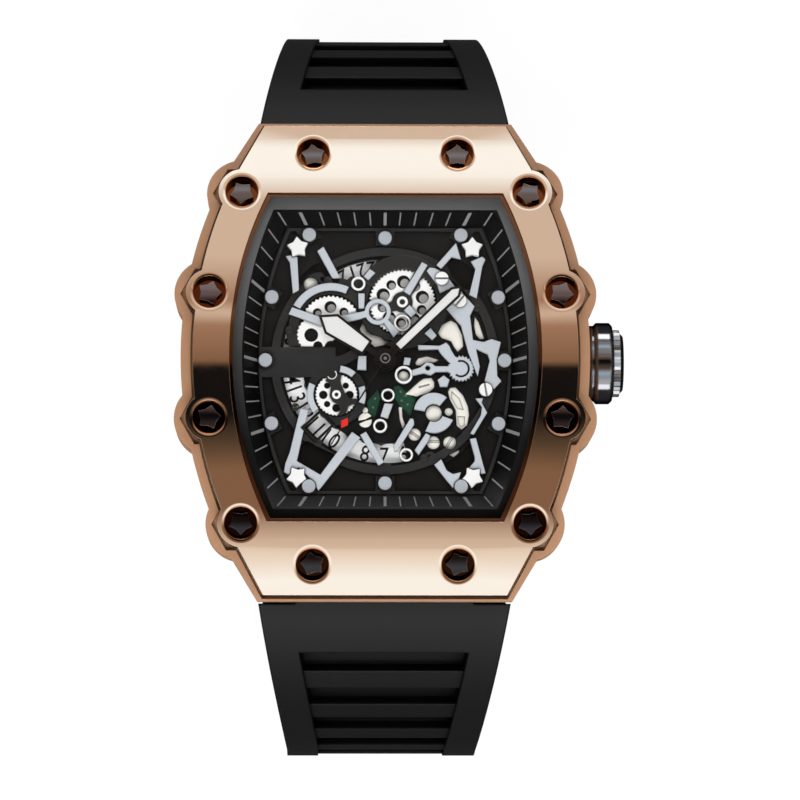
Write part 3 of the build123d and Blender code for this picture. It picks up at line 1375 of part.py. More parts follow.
def buckle_frame():
    """U-shaped frame on the buckle's bar, with a notch for the tongue's tip."""
    floor = -top_height
    low, high = buckle_z - buckle_arm_radius, buckle_z + buckle_arm_radius
    far = buckle_y - buckle_reach
    near = far + buckle_cross
    arm = polygon([(buckle_y, high), (near, floor + buckle_height), (near, floor), (buckle_y, low)])
    arm = arm + Pos(buckle_y, buckle_z) * Circle(buckle_arm_radius)
    cross = RectangleRounded(buckle_cross, buckle_height, buckle_round)
    cross = Pos((far + near) / 2, floor + buckle_height / 2) * cross
    width = frame_half_width()
    body = side_slab(arm, width) - side_slab(arm_room(arm), strap_half_width + buckle_side_gap)
    body = body + side_slab(cross, width)
    body = body - rod_x(buckle_bar_radius + bar_gap, -case_half_width, case_half_width, buckle_y, -buckle_z)
    notch = Pos(0, (far + near) / 2) * Rectangle(tongue_width + tongue_gap * 2, buckle_cross * 2)
    depth = tongue_floor + tongue_thickness + tongue_gap
    return body - slab(notch, top_height - depth, top_height + overrun)


def arm_room(arm):
    """The space between the frame's arms, a little larger than an arm's own side."""
    return offset(arm, tongue_gap, kind=Kind.INTERSECTION)


def buckle_tongue():
    """Pin of the buckle: a ring on the bar and a blade that lies in the frame's notch."""
    low = -top_height + tongue_floor
    tip = buckle_y - buckle_reach + buckle_round
    blade = polygon([(buckle_y, low), (buckle_y, low + tongue_thickness), (tip, low + tongue_thickness), (tip, low)])
    root = Pos(buckle_y, buckle_z) * Circle(tongue_root_radius)
    body = side_slab(blade + root, tongue_width / 2)
    return body - rod_x(buckle_bar_radius + bar_gap, -case_half_width, case_half_width, buckle_y, -buckle_z)


def keeper(angle, gap):
    """Loop round the strap with straight sides and room for the tail outside the strap."""
    half = keeper_length / 2
    inner = sqrt((foot_radius - strap_thickness - gap) ** 2 - half ** 2)
    outer = foot_radius + keeper_tail_room
    wide = strap_half_width + gap
    turn = radians(angle)
    across, along = (sin(turn), cos(turn)), (cos(turn), -sin(turn))

    def block(low, high, reach):
        corners = ((low, -reach), (high, -reach), (high, reach), (low, reach))
        return polygon([(side_y + r * across[0] + t * along[0], -side_depth + r * across[1] + t * along[1])
                        for r, t in corners])

    shell = side_slab(block(inner - keeper_wall, outer + keeper_wall, half), wide + keeper_wall)
    return shell - side_slab(block(inner, outer, half + overrun), wide)


def main():
    os.makedirs("parts", exist_ok=True)
    lift = Pos(0, 0, top_height)
    plate = dial_plate()
    lower = dial_wheel("lower", 36, 8) - bar_outline(part_gap)
    wheels = [lay_wheel(dial_wheel("upper", 52, 10, 14.6)), left_wheels(), lay_wheel(lower)]
    inlays = seated(dial_inlays(), [plate, *wheels])
    carriers = [plate, *wheels, inlays]
    lever = seated(lever_pinion(), carriers)
    nodes = {
        "case_middle": case_middle(),
        "bezel": bezel(),
        "bezel_screws": bezel_screws(),
        "bezel_gasket": bezel_gasket(),
        "crystal": crystal(),
        "crystal_gasket": crystal_gasket(),
        "inner_flange": inner_flange(),
        "minute_ring": minute_ring(),
        "minute_marks": minute_marks(),
        "hour_studs": hour_studs(),
        "dial_plate": plate,
        "dial_inlays": inlays,
        "ivory_train": ivory_train(),
        "split_ring": seated(split_ring(), carriers),
        "lever_pinion": lever,
        "jewel_settings": seated(jewel_settings(), [*carriers, lever]),
        "dial_star_bolts": seated(star_bolts(), carriers),
        "dial_screws": dial_screws(),
        "date_window_frame": date_frame(),
        "upper_dial_wheel": wheels[0],
        "left_dial_wheel": wheels[1],
        "lower_dial_wheel": wheels[2],
        "date_disc": date_disc(),
        "hour_hand": hour_hand(),
        "hour_hand_lume": hour_lume(),
        "minute_hand": minute_hand(),
        "minute_hand_lume": minute_lume(),
        "second_hand": second_hand(),
        "second_hand_diamond": second_hand_diamond(),
        "second_arbor": second_arbor(),
        "cannon_pinion": cannon_pinion(),
        "hour_wheel": hour_wheel(),
        "minute_wheel": minute_wheel(),
        "main_plate": main_plate(),
        "movement_ring": movement_ring(),
        "train_bridge": train_bridge(),
        "movement_screws": movement_screws(),
        "battery": battery(),
        "battery_clamp": battery_clamp(),
        "coil": coil(),
        "circuit_board": circuit_board(),
        "case_back": case_back(),
        "case_back_gasket": case_back_gasket(),
        "case_back_screws": case_back_screws(),
        "crown_tube": crown_tube(),
        "crown_seal": crown_seal(),
        "setting_pinion": setting_pinion(),
        "stem": stem(),
        "crown": crown(),
        "crown_rim": crown_rim(),
        "crown_grip": crown_grip(),
        "crown_cap": crown_cap(),
        "strap_bars": strap_bars(),
        "strap_upper": strap_upper(),
        "strap_lower": strap_lower(),
        "buckle_bar": buckle_bar(),
        "buckle_frame": buckle_frame(),
        "buckle_tongue": buckle_tongue(),
        "fixed_keeper": keeper(fixed_keeper_angle, 0),
        "free_keeper": keeper(free_keeper_angle, keeper_gap),
    }
    for name, shape in nodes.items():
        export_step(lift * shape, f"parts/{name}.step")


main()
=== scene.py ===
"""Looks of a tonneau wristwatch on a photographer's table.

Metres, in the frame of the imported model: the origin lies under the strap where the watch stands, +Z goes
out of the dial, +Y to 12 o'clock and +X to the crown. The file follows the watch from the table up: the
stage, then the case, the crystal, the dial, the hands, the movement, the crown, the strap and the buckle."""
import math

import bpy
from mathutils import Matrix, Vector


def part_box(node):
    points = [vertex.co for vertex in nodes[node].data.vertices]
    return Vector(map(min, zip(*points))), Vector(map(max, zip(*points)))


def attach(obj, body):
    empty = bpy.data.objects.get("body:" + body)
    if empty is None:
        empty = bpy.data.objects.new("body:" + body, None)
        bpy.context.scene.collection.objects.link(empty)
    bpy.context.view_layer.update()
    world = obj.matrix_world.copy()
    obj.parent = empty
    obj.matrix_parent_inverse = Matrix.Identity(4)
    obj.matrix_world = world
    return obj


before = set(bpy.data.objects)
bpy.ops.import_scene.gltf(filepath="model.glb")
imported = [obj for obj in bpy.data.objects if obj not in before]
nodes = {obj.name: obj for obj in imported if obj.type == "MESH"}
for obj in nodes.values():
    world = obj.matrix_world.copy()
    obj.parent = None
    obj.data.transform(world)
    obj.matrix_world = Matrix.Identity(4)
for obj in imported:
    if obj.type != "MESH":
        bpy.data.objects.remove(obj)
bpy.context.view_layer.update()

# The photographer's table
# A white sweep under the watch, lit so that it reads as plain white and still takes a soft shadow.
# The camera looks down at the dial through a long lens, from a little below the middle of the dial.
MM = 0.001


def linear(code):
    """An sRGB hex colour as linear light."""
    parts = [int(code[i:i + 2], 16) / 255 for i in (0, 2, 4)]
    return [p / 12.92 if p <= 0.04045 else ((p + 0.055) / 1.055) ** 2.4 for p in parts] + [1.0]


def add(tree, kind, inputs=None, **settings):
    """One shader node with its settings; an input given as a socket is linked, any other is a value."""
    node = tree.nodes.new("ShaderNode" + kind)
    for name, value in settings.items():
        setattr(node, name, value)
    for name, value in (inputs or {}).items():
        socket = node.inputs[name]
        if isinstance(value, bpy.types.NodeSocket):
            tree.links.new(value, socket)
        else:
            socket.default_value = value
    return node


def new_material(name):
    """An empty node material and its tree."""
    material = bpy.data.materials.new(name)
    material.use_nodes = True
    tree = material.node_tree
    tree.nodes.clear()
    return material, tree


def ramp(tree, factor, stops):
    """A colour ramp from (position, hex colour) stops."""
    node = add(tree, "ValToRGB", {"Fac": factor})
    elements = node.color_ramp.elements
    while len(elements) < len(stops):
        elements.new(0.5)
    for element, (position, code) in zip(elements, stops):
        element.position = position
        element.color = linear(code)
    return node.outputs["Color"]


def maths(tree, operation, first, second=0.0):
    """The result of one Math node."""
    return add(tree, "Math", {0: first, 1: second}, operation=operation).outputs[0]


dial_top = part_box("bezel")[1].z
sweep_size = 3.0
floor_gap = 0.05 * MM            # keeps the strap's foot clear of the sweep

camera_distance = 0.450
nearest_seen = 0.01
camera_tilt = math.radians(6.5)
camera_turn = math.radians(1.0)
pixels_per_metre = 10000
frame_pixels = 800
bezel_pixel = (385.75, 354.2)
sensor_width = 36.0

view = Vector((math.sin(camera_turn), math.sin(camera_tilt), 0))
view.z = -math.sqrt(1 - view.length_squared)
right = Vector((math.cos(camera_turn), 0, math.sin(camera_turn))).normalized()
up = right.cross(view).normalized()
right = view.cross(up).normalized()
aim = Vector((0, 0, dial_top))
aim += right * (frame_pixels / 2 - bezel_pixel[0]) / pixels_per_metre
aim -= up * (frame_pixels / 2 - bezel_pixel[1]) / pixels_per_metre
camera = bpy.data.objects.new("camera", bpy.data.cameras.new("camera"))
camera.data.sensor_width = sensor_width
camera.data.lens = sensor_width * camera_distance * pixels_per_metre / frame_pixels
camera.data.clip_start = nearest_seen
rotation = Matrix((right, up, -view)).transposed()
camera.matrix_world = Matrix.Translation(aim - view * camera_distance) @ rotation.to_4x4()
bpy.context.scene.collection.objects.link(camera)
bpy.context.scene.camera = camera
bpy.context.scene.view_settings.view_transform = "Standard"


def plane(name, width, length, centre, turn=(0, 0, 0)):
    """A flat card of the stage."""
    mesh = bpy.data.meshes.new(name)
    w, l = width / 2, length / 2
    mesh.from_pydata([(-w, -l, 0), (w, -l, 0), (w, l, 0), (-w, l, 0)], [], [(0, 1, 2, 3)])
    card = bpy.data.objects.new(name, mesh)
    card.location = centre
    card.rotation_euler = turn
    bpy.context.scene.collection.objects.link(card)
    return card


def seen_or_mirrored(tree):
    """1 for camera, glossy and transmission rays, 0 for the light that falls on the watch."""
    path = add(tree, "LightPath")
    share = path.outputs["Is Camera Ray"]
    for other in ("Is Glossy Ray", "Is Transmission Ray"):
        share = maths(tree, "MAXIMUM", share, path.outputs[other])
    return share


def white_board():
    """White board: plain white to the camera and through glass, a little darker where shadow falls."""
    glow_share, glow_strength = 0.86, 1.04
    material, tree = new_material("white_sweep")
    share = maths(tree, "MULTIPLY", seen_or_mirrored(tree), glow_share)
    board = add(tree, "BsdfDiffuse", {"Color": linear("F2F2F2")})
    glow = add(tree, "Emission", {"Color": linear("FFFFFF"), "Strength": glow_strength})
    mix = add(tree, "MixShader", {0: share, 1: board.outputs[0], 2: glow.outputs[0]})
    add(tree, "OutputMaterial", {"Surface": mix.outputs[0]})
    return material


floor = plane("floor", sweep_size, sweep_size, (0, 0, -floor_gap))
floor.data.materials.append(white_board())
floor.visible_glossy = False

# The lights
# Soft boxes stand beyond 12 and 6 o'clock. Between them a brown paper with a black middle hangs over the
# watch: only the polished metal shows it, as the dark band across the bezel's flat middle. Soft boxes and
# paper are one wide card here, whose glow changes along the watch.
card_height = 1.2
card_size = 6.0
card_gain = 1.6
white_wall = "E8E9EA"
box_white = "D2E6F8"             # cool beside the warm metal
box_edge = "C0C3C4"
grey_paper = "ACA7A3"
pale_brown = "836E60"
brown_paper = "6A5648"
dark_brown = "40382E"
black_paper = "0F0F11"
dim_wall = "808182"


def mapped(tree, value, low, high, to_low=0.0, to_high=1.0):
    """The value's range from low to high moved to another range, and cut off at its ends."""
    ends = {"Value": value, "From Min": low, "From Max": high, "To Min": to_low, "To Max": to_high}
    return add(tree, "MapRange", ends).outputs[0]


def place_along(tree, axis):
    """The place along one axis of the piece's own frame, in metres."""
    return add(tree, "SeparateXYZ", {0: add(tree, "TexCoord").outputs["Object"]}).outputs[axis]


def glow_card():
    """Soft boxes at both ends and the brown and black paper between them, by angle seen from the watch."""
    stops_deg = ((-75, white_wall), (-56, white_wall), (-48, box_edge), (-34, box_white), (-29, box_edge),
                 (-27, grey_paper), (-21, brown_paper), (-14, brown_paper), (-9, dark_brown),
                 (-4, black_paper), (5, black_paper), (5.6, brown_paper), (12.5, pale_brown),
                 (14.5, grey_paper), (17, pale_brown), (25, grey_paper), (36, grey_paper), (41, box_white),
                 (46, box_white), (49, grey_paper), (54, grey_paper), (62, dim_wall), (75, dim_wall))
    low, high = stops_deg[0][0], stops_deg[-1][0]
    material, tree = new_material("soft_box_and_paper")
    angle = maths(tree, "ARCTAN2", place_along(tree, "Y"), card_height)
    factor = mapped(tree, angle, math.radians(low), math.radians(high))
    tint = ramp(tree, factor, [((degree - low) / (high - low), code) for degree, code in stops_deg])
    glow = add(tree, "Emission", {"Color": tint, "Strength": card_gain})
    add(tree, "OutputMaterial", {"Surface": glow.outputs[0]})
    return material


def edge_card(power):
    """White paper that glows this much."""
    material, tree = new_material("low_soft_box")
    glow = add(tree, "Emission", {"Color": linear("FFFFFF"), "Strength": power})
    add(tree, "OutputMaterial", {"Surface": glow.outputs[0]})
    return material


card = plane("soft_box_card", card_size, card_size, (0, 0, dial_top + card_height))
card.data.materials.append(glow_card())

# A low soft box beyond each end, which only the strap, the flanks and the crown mirror.
low_card_distance = 2.6
low_card_middle = 0.7
low_card_width = 1.6
mirror_cards = [card]
for name, side, height, power in (("low_card_at_six", -1, 0.8, 3.1), ("low_card_at_twelve", 1, 0.85, 3.8)):
    centre = (0, side * low_card_distance, low_card_middle)
    low_card = plane(name, low_card_width, height, centre, (math.pi / 2, 0, 0))
    low_card.data.materials.append(edge_card(power))
    mirror_cards.append(low_card)
for card in mirror_cards:
    card.visible_camera = False
    card.visible_diffuse = False
    card.visible_shadow = False


def soft_box(name, centre, size, power):
    """A lamp that lights the watch but isn't mirrored in it, aimed at the foot of the strap."""
    lamp = bpy.data.lights.new(name, "AREA")
    lamp.shape = "RECTANGLE"
    lamp.size, lamp.size_y = size
    lamp.energy = power
    box = bpy.data.objects.new(name, lamp)
    box.location = centre
    box.rotation_euler = (-Vector(centre)).to_track_quat("-Z", "Y").to_euler()
    box.visible_camera = False
    box.visible_glossy = False
    bpy.context.scene.collection.objects.link(box)


soft_box("box_at_twelve", (0.05, 0.75, 0.85), (0.9, 0.5), 4.0)
soft_box("box_at_six", (-0.05, -0.75, 0.80), (0.9, 0.5), 9.5)
soft_box("box_at_nine", (-0.9, 0.0, 0.55), (0.5, 0.8), 2.6)
soft_box("box_at_three", (0.9, 0.0, 0.55), (0.5, 0.8), 2.6)


def studio_world():
    """White behind the watch and through glass, dim in metal but for a pale wall at 3 and at 9 o'clock."""
    fill_light, less_in_metal, wall_glow = 0.26, 0.19, 0.5
    wall_starts, wall_whole = 0.45, 0.8          # how far a ray goes sideways
    wall_foot, wall_above_foot = 0.05, 0.15      # how far it goes up
    world = bpy.data.worlds.new("studio")
    world.use_nodes = True
    tree = world.node_tree
    tree.nodes.clear()
    path = add(tree, "LightPath").outputs
    mirrored = path["Is Glossy Ray"]
    plain_view = maths(tree, "MAXIMUM", path["Is Camera Ray"], path["Is Transmission Ray"])
    light = mapped(tree, plain_view, 0.0, 1.0, fill_light, 1.0)
    light = maths(tree, "SUBTRACT", light, maths(tree, "MULTIPLY", mirrored, less_in_metal))
    heading = add(tree, "SeparateXYZ", {0: add(tree, "TexCoord").outputs["Generated"]}).outputs
    sideways = maths(tree, "ABSOLUTE", heading["X"])
    wall = mapped(tree, sideways, wall_starts, wall_whole, 0.0, wall_glow)
    wall = maths(tree, "MULTIPLY", wall, mapped(tree, heading["Z"], wall_foot, wall_above_foot))
    wall = maths(tree, "MULTIPLY", wall, mirrored)
    glow = add(tree, "Background", {"Color": (1, 1, 1, 1), "Strength": maths(tree, "ADD", light, wall)})
    add(tree, "OutputWorld", {"Surface": glow.outputs[0]})
    return world


bpy.context.scene.world = studio_world()

# The case middle
# Stainless steel with a rose gold coating from a vacuum chamber. The rim and the flanks are brushed along
# the case, so that they stay an even satin while the bezel above them shines.
shade_samples = 6


def dress(material, *names):
    """A CAD node takes this material in its one slot."""
    for name in names:
        mesh = nodes[name].data
        mesh.materials.clear()
        mesh.materials.append(material)


def soft_edges(tree, radius_mm):
    """Shading normal with every edge rounded by a real radius."""
    return add(tree, "Bevel", {"Radius": radius_mm * MM}, samples=shade_samples).outputs[0]


def near_edge(tree, radius_mm):
    """1 along the edges of a piece, fading to 0 this many millimetres inside them."""
    full_tilt = 0.25
    rounded = soft_edges(tree, radius_mm)
    flat = add(tree, "NewGeometry").outputs["Normal"]
    same = add(tree, "VectorMath", {0: rounded, 1: flat}, operation="DOT_PRODUCT").outputs["Value"]
    return mapped(tree, same, 1.0, 1 - full_tilt)


def fine_noise(tree, size_mm, stretch=(1, 1, 1), detail=3.0):
    """Noise whose grains are this large, drawn out along an axis by stretch."""
    place = add(tree, "TexCoord").outputs["Object"]
    scaled = add(tree, "Mapping", {"Vector": place, "Scale": [1 / (size_mm * MM * s) for s in stretch]})
    return add(tree, "TexNoise", {"Vector": scaled.outputs[0], "Scale": 1.0, "Detail": detail}).outputs["Fac"]


def spread_of(tree, grain, low, high):
    """The grain's usual range stretched over low to high."""
    usual_low, usual_high = 0.3, 0.7
    return mapped(tree, grain, usual_low, usual_high, low, high)


def multiply(tree, first, second):
    """Two colours, or a colour and a share, multiplied."""
    return add(tree, "MixRGB", {0: 1.0, 1: first, 2: second}, blend_type="MULTIPLY").outputs[0]


def dented(tree, grain, depth_mm, normal):
    """The normal over a surface that the grain dents by this depth."""
    bump = {"Height": grain, "Distance": depth_mm * MM, "Strength": 1.0, "Normal": normal}
    return add(tree, "Bump", bump).outputs[0]


def metal(name, colour, roughness, edge_mm=0.06, grain_mm=0.06, stretch=(1, 1, 1), spread=0.08, bump=0.0,
          tone=0.06, rim_tint="FFFFFF", metallic=1.0):
    """A metal surface: its grain moves the roughness and tone a little and dents it by bump millimetres."""
    material, tree = new_material(name)
    grain = fine_noise(tree, grain_mm, stretch)
    rough = spread_of(tree, grain, max(roughness - spread, 0.02), roughness + spread)
    shade = multiply(tree, linear(colour), spread_of(tree, grain, 1 - tone, 1 + tone))
    normal = soft_edges(tree, edge_mm)
    if bump:
        normal = dented(tree, grain, bump, normal)
    shader = add(tree, "BsdfPrincipled", {"Base Color": shade, "Metallic": metallic, "Roughness": rough,
                                          "Specular Tint": linear(rim_tint), "Normal": normal})
    add(tree, "OutputMaterial", {"Surface": shader.outputs[0]})
    return material


dress(metal("brushed_rose_gold_steel", "B08463", 0.55, edge_mm=0.12, grain_mm=0.05, stretch=(1, 18, 1),
            bump=0.0012, metallic=0.15), "case_middle")

# The bezel
# One polished steel plate, bent along the case and coated rose gold. The polishing wheel has rounded the
# rims of its twelve wells, which catch a bright ring. The wells, the chamfer round the glass and the flanks
# lie in the plate's own shade, which is painted into their colour: painted shade darkens them with their
# depth under its face, and copper bands of painted reflection lie between.
bend_radius = 70 * MM
well_places = ((7.3, 20.87), (14.48, 16.78), (17.66, 6.31))
well_radius = 1.65 * MM
well_depth = 1.1 * MM
rim_width = 0.36 * MM            # rounded by the polishing wheel
rim_slope = 0.3
mouth_from, mouth_until = 0.02 * MM, 0.12 * MM


def well_distance(tree):
    """Distance in plan to the middle of the nearest well; the four quarters of the case are alike."""
    place = add(tree, "TexCoord").outputs["Object"]
    flat = add(tree, "VectorMath", {0: place, 1: (1, 1, 0)}, operation="MULTIPLY").outputs[0]
    folded = add(tree, "VectorMath", {0: flat}, operation="ABSOLUTE").outputs[0]
    nearest = None
    for x, y in well_places:
        middle = (x * MM, y * MM, 0)
        away = add(tree, "VectorMath", {0: folded, 1: middle}, operation="DISTANCE").outputs["Value"]
        if nearest:
            away = maths(tree, "MINIMUM", nearest, away)
        nearest = away
    return nearest


def depth_under_bezel(tree):
    """Depth under the bent face of the bezel, in metres."""
    along = place_along(tree, "Y")
    squared = maths(tree, "MULTIPLY", along, along)
    reach = maths(tree, "SQRT", maths(tree, "SUBTRACT", bend_radius ** 2, squared))
    face = maths(tree, "ADD", reach, dial_top - bend_radius)
    return maths(tree, "SUBTRACT", face, place_along(tree, "Z"))


def relief(tree, height, normal):
    """The normal over a surface that stands this high, in metres."""
    bump = {"Height": height, "Distance": 1.0, "Strength": 1.0, "Normal": normal}
    return add(tree, "Bump", bump).outputs[0]


def polished_bezel():
    """Mirror polish with painted shade and painted reflection by depth; painted shade darkens the wells' feet
    towards 6 o'clock.
    """
    foot_starts, foot_whole = 0.6, 0.75          # shares of the wells' depth
    dark_end, light_end, darkest = -14 * MM, 8 * MM, 0.12
    white = (1, 1, 1, 1)
    material, tree = new_material("polished_rose_gold_steel")
    depth = mapped(tree, depth_under_bezel(tree), 0.0, well_depth)
    # Painted shade and painted reflection, by depth under the bezel's face.
    tint = ramp(tree, depth, ((0.0, "F8DABF"), (0.05, "F8DABF"), (0.1, "7C5C48"), (0.3, "6A4B38"),
                              (0.45, "B87C50"), (0.7, "8A5634"), (0.82, "5A3A26"), (0.96, "8E6648")))
    # Painted shade on the wells' feet, darker towards 6 o'clock.
    along_light = mapped(tree, place_along(tree, "Y"), dark_end, light_end, darkest, 1.0)
    at_foot = mapped(tree, depth, foot_starts, foot_whole)
    tint = multiply(tree, tint, add(tree, "MixRGB", {0: at_foot, 1: white, 2: along_light}).outputs[0])
    from_well = well_distance(tree)
    # A copper ring of painted shade round each well's mouth.
    mouth = mapped(tree, from_well, well_radius + mouth_from, well_radius + mouth_until, 1.0, 0.0)
    mouth_shade = add(tree, "MixRGB", {0: mouth, 1: white, 2: linear("D8A684")}).outputs[0]
    tint = multiply(tree, tint, mouth_shade)
    rounding = mapped(tree, from_well, well_radius, well_radius + rim_width, 1.0, 0.0)
    fall = -rim_slope * rim_width / 2
    height = maths(tree, "MULTIPLY", maths(tree, "POWER", rounding, 2.0), fall)
    rough = spread_of(tree, fine_noise(tree, 0.9), 0.03, 0.06)
    shader = add(tree, "BsdfPrincipled", {"Base Color": tint, "Metallic": 1.0, "Roughness": rough,
                                          "Normal": relief(tree, height, soft_edges(tree, 0.06))})
    add(tree, "OutputMaterial", {"Surface": shader.outputs[0]})
    return material


dress(polished_bezel(), "bezel")


# The bezel's screws
# Five-lobed screws of hardened steel with a dark grey coating. Their heads are polished and a little domed,
# and shine along the lobes' edges, where a painted highlight lightens them too. Painted light and shade make
# them lighter towards 12 o'clock and darker towards 6 o'clock.
def contact_shade(tree, reach_mm, power=1.6):
    """Painted shade: 1 on open faces, less in corners and beside taller pieces."""
    reach = {"Distance": reach_mm * MM}
    open_share = add(tree, "AmbientOcclusion", reach, samples=shade_samples).outputs["AO"]
    return maths(tree, "POWER", open_share, power)


def coated(name, colour, roughness, edge_colour=None, edge_mm=0.05, grain_mm=0.08, bump=0.0, tone=0.08,
           specular=0.5, painted_shade_mm=0.0):
    """A painted, plated, moulded or printed surface; it may change colour along its edges, and painted shade
    may darken it in corners.
    """
    material, tree = new_material(name)
    grain = fine_noise(tree, grain_mm)
    shade = multiply(tree, linear(colour), spread_of(tree, grain, 1 - tone, 1 + tone))
    # Painted shade: the open share darkens the colour and the gloss in corners and beside taller pieces.
    if painted_shade_mm:
        open_share = contact_shade(tree, painted_shade_mm)
        shade = multiply(tree, shade, open_share)
        specular = maths(tree, "MULTIPLY", open_share, specular)
    if edge_colour:
        mix = {0: near_edge(tree, edge_mm), 1: shade, 2: linear(edge_colour)}
        shade = add(tree, "MixRGB", mix).outputs[0]
    normal = soft_edges(tree, edge_mm)
    if bump:
        normal = dented(tree, grain, bump, normal)
    shader = add(tree, "BsdfPrincipled", {"Base Color": shade, "Roughness": roughness,
                                          "Specular IOR Level": specular, "Normal": normal})
    add(tree, "OutputMaterial", {"Surface": shader.outputs[0]})
    return material


def dark_star():
    """Dark polished steel on domed heads, with painted light and shade along the watch and a painted
    highlight on the edges.
    """
    dome_slope, head_radius = 0.2, 1.25 * MM
    shade_end = 22 * MM
    material, tree = new_material("dark_coated_steel")
    # Painted light and shade: lighter towards 12 o'clock, darker towards 6.
    share = mapped(tree, place_along(tree, "Y"), -shade_end, shade_end)
    tint = ramp(tree, share, ((0.0, "3C3634"), (0.14, "302C30"), (0.25, "3E383E"), (0.4, "6E666C"),
                              (0.65, "887C80"), (0.9, "73655F")))
    shade = multiply(tree, tint, spread_of(tree, fine_noise(tree, 0.08), 0.93, 1.07))
    # A painted highlight along the lobes' edges.
    shade = add(tree, "MixRGB", {0: near_edge(tree, 0.09), 1: shade, 2: linear("CFC6CA")}).outputs[0]
    squared = maths(tree, "POWER", well_distance(tree), 2.0)
    height = maths(tree, "MULTIPLY", squared, -dome_slope / (2 * head_radius))
    shader = add(tree, "BsdfPrincipled", {"Base Color": shade, "Metallic": 1.0, "Roughness": 0.16,
                                          "Normal": relief(tree, height, soft_edges(tree, 0.07))})
    add(tree, "OutputMaterial", {"Surface": shader.outputs[0]})
    return material


dress(dark_star(), "bezel_screws")


# The crystal and its gaskets
# Mineral glass bent like the bezel, clear enough to look at the dial through it, and black rubber seals.
def clear_glass():
    """Thin clear glass: it only adds its reflection to what lies under it."""
    material, tree = new_material("mineral_glass")
    clear = add(tree, "BsdfTransparent", {"Color": (1, 1, 1, 1)})
    gloss = add(tree, "BsdfGlossy", {"Color": (1, 1, 1, 1), "Roughness": 0.0})
    fresnel = add(tree, "Fresnel", {"IOR": 1.12})
    mix = add(tree, "MixShader", {0: fresnel.outputs[0], 1: clear.outputs[0], 2: gloss.outputs[0]})
    add(tree, "OutputMaterial", {"Surface": mix.outputs[0]})
    return material


dress(clear_glass(), "crystal")
dress(coated("black_seal_rubber", "0E0E0E", 0.6), "crystal_gasket", "bezel_gasket", "case_back_gasket",
      "crown_seal")


# The flange, the minute ring and its marks
# The flange is a grey coated ring under the glass, with painted light and shade that darken it towards 6
# o'clock. The minute ring is moulded in matt black, with sixty grey printed marks on its slope, and takes
# some painted light at 6 o'clock.
def fading_coating(name, colours, node):
    """A satin coating with painted light and shade along the watch, from 6 o'clock to 12, over the length of
    a node.
    """
    low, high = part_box(node)
    material, tree = new_material(name)
    share = mapped(tree, place_along(tree, "Y"), low.y, high.y)
    steps = len(colours) - 1
    tint = ramp(tree, share, [(i / steps, code) for i, code in enumerate(colours)])
    grain = fine_noise(tree, 0.06)
    shade = multiply(tree, tint, spread_of(tree, grain, 0.95, 1.05))
    shader = add(tree, "BsdfPrincipled", {"Base Color": shade, "Roughness": 0.5, "Specular IOR Level": 0.1,
                                          "Normal": soft_edges(tree, 0.05)})
    add(tree, "OutputMaterial", {"Surface": shader.outputs[0]})
    return material


# Painted light and shade along the watch, from 6 o'clock to 12.
flange_tones = ("0E0E0E", "1A1A1A", "3E3E3E", "686868", "787878")
dress(fading_coating("grey_flange_coating", flange_tones, "inner_flange"), "inner_flange")
ring_tones = ("3A3A3A", "282829") + ("0A0A0B",) * 14
dress(fading_coating("matt_black_ring", ring_tones, "minute_ring"), "minute_ring")
dress(coated("grey_print", "9A9A9A", 0.5), "minute_marks")

# The dial plate
# Brass, cut through and lacquered black, with a fine blasted grain. The raised rims, tabs and bar are painted
# a lighter grey, painted shade keeps the floors of the pockets deep black, and painted contact shadows darken
# the plate beside taller pieces.
plate_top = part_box("dial_plate")[1].z
raised_height = 0.3 * MM
pocket_depth = 0.3 * MM
plate_face = plate_top - raised_height
pocket_floor = plate_face - pocket_depth


def level_lacquer():
    """Lacquer whose grey is painted by the height of the face: pocket floor, plate or raised rim."""
    material, tree = new_material("black_lacquered_brass")
    share = mapped(tree, place_along(tree, "Z"), pocket_floor, plate_top)
    tint = ramp(tree, share, ((0.0, "050505"), (0.3, "080808"), (0.5, "121212"), (0.7, "121212"),
                              (1.0, "2A2A2A")))
    grain = fine_noise(tree, 0.07)
    cloud = fine_noise(tree, 2.2, stretch=(2.5, 1, 1), detail=2.0)
    shade = multiply(tree, tint, spread_of(tree, grain, 0.86, 1.14))
    shade = multiply(tree, shade, spread_of(tree, cloud, 0.72, 1.2))
    # Painted contact shadows beside taller pieces.
    shade = multiply(tree, shade, contact_shade(tree, 0.6, power=2.4))
    shader = add(tree, "BsdfPrincipled", {"Base Color": shade, "Roughness": 0.45, "Specular IOR Level": 0.25,
                                          "Normal": dented(tree, grain, 0.002, soft_edges(tree, 0.1))})
    add(tree, "OutputMaterial", {"Surface": shader.outputs[0]})
    return material


black_lacquer = level_lacquer()
dress(black_lacquer, "dial_plate")


def cut_out(name, outlines_mm, low, high, material, body="case"):
    """Flat pieces cut along closed outlines, all in one mesh, between two heights."""
    corners, faces = [], []
    for outline in outlines_mm:
        turn = sum(a[0] * b[1] - b[0] * a[1] for a, b in zip(outline, outline[1:] + outline[:1]))
        points = outline if turn > 0 else outline[::-1]
        first, count = len(corners), len(points)
        corners += [(x * MM, y * MM, z) for z in (low, high) for x, y in points]
        faces.append([first + i for i in reversed(range(count))])
        faces.append([first + count + i for i in range(count)])
        for i in range(count):
            after = (i + 1) % count
            faces.append([first + i, first + after, first + count + after, first + count + i])
    mesh = bpy.data.meshes.new(name)
    mesh.from_pydata(corners, [], faces)
    mesh.materials.append(material)
    piece = bpy.data.objects.new(name, mesh)
    bpy.context.scene.collection.objects.link(piece)
    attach(piece, body)
    return piece


def disc(x, y, radius, steps=28):
    """Round outline."""
    turns = [math.tau * i / steps for i in range(steps)]
    return [(x + radius * math.cos(turn), y + radius * math.sin(turn)) for turn in turns]


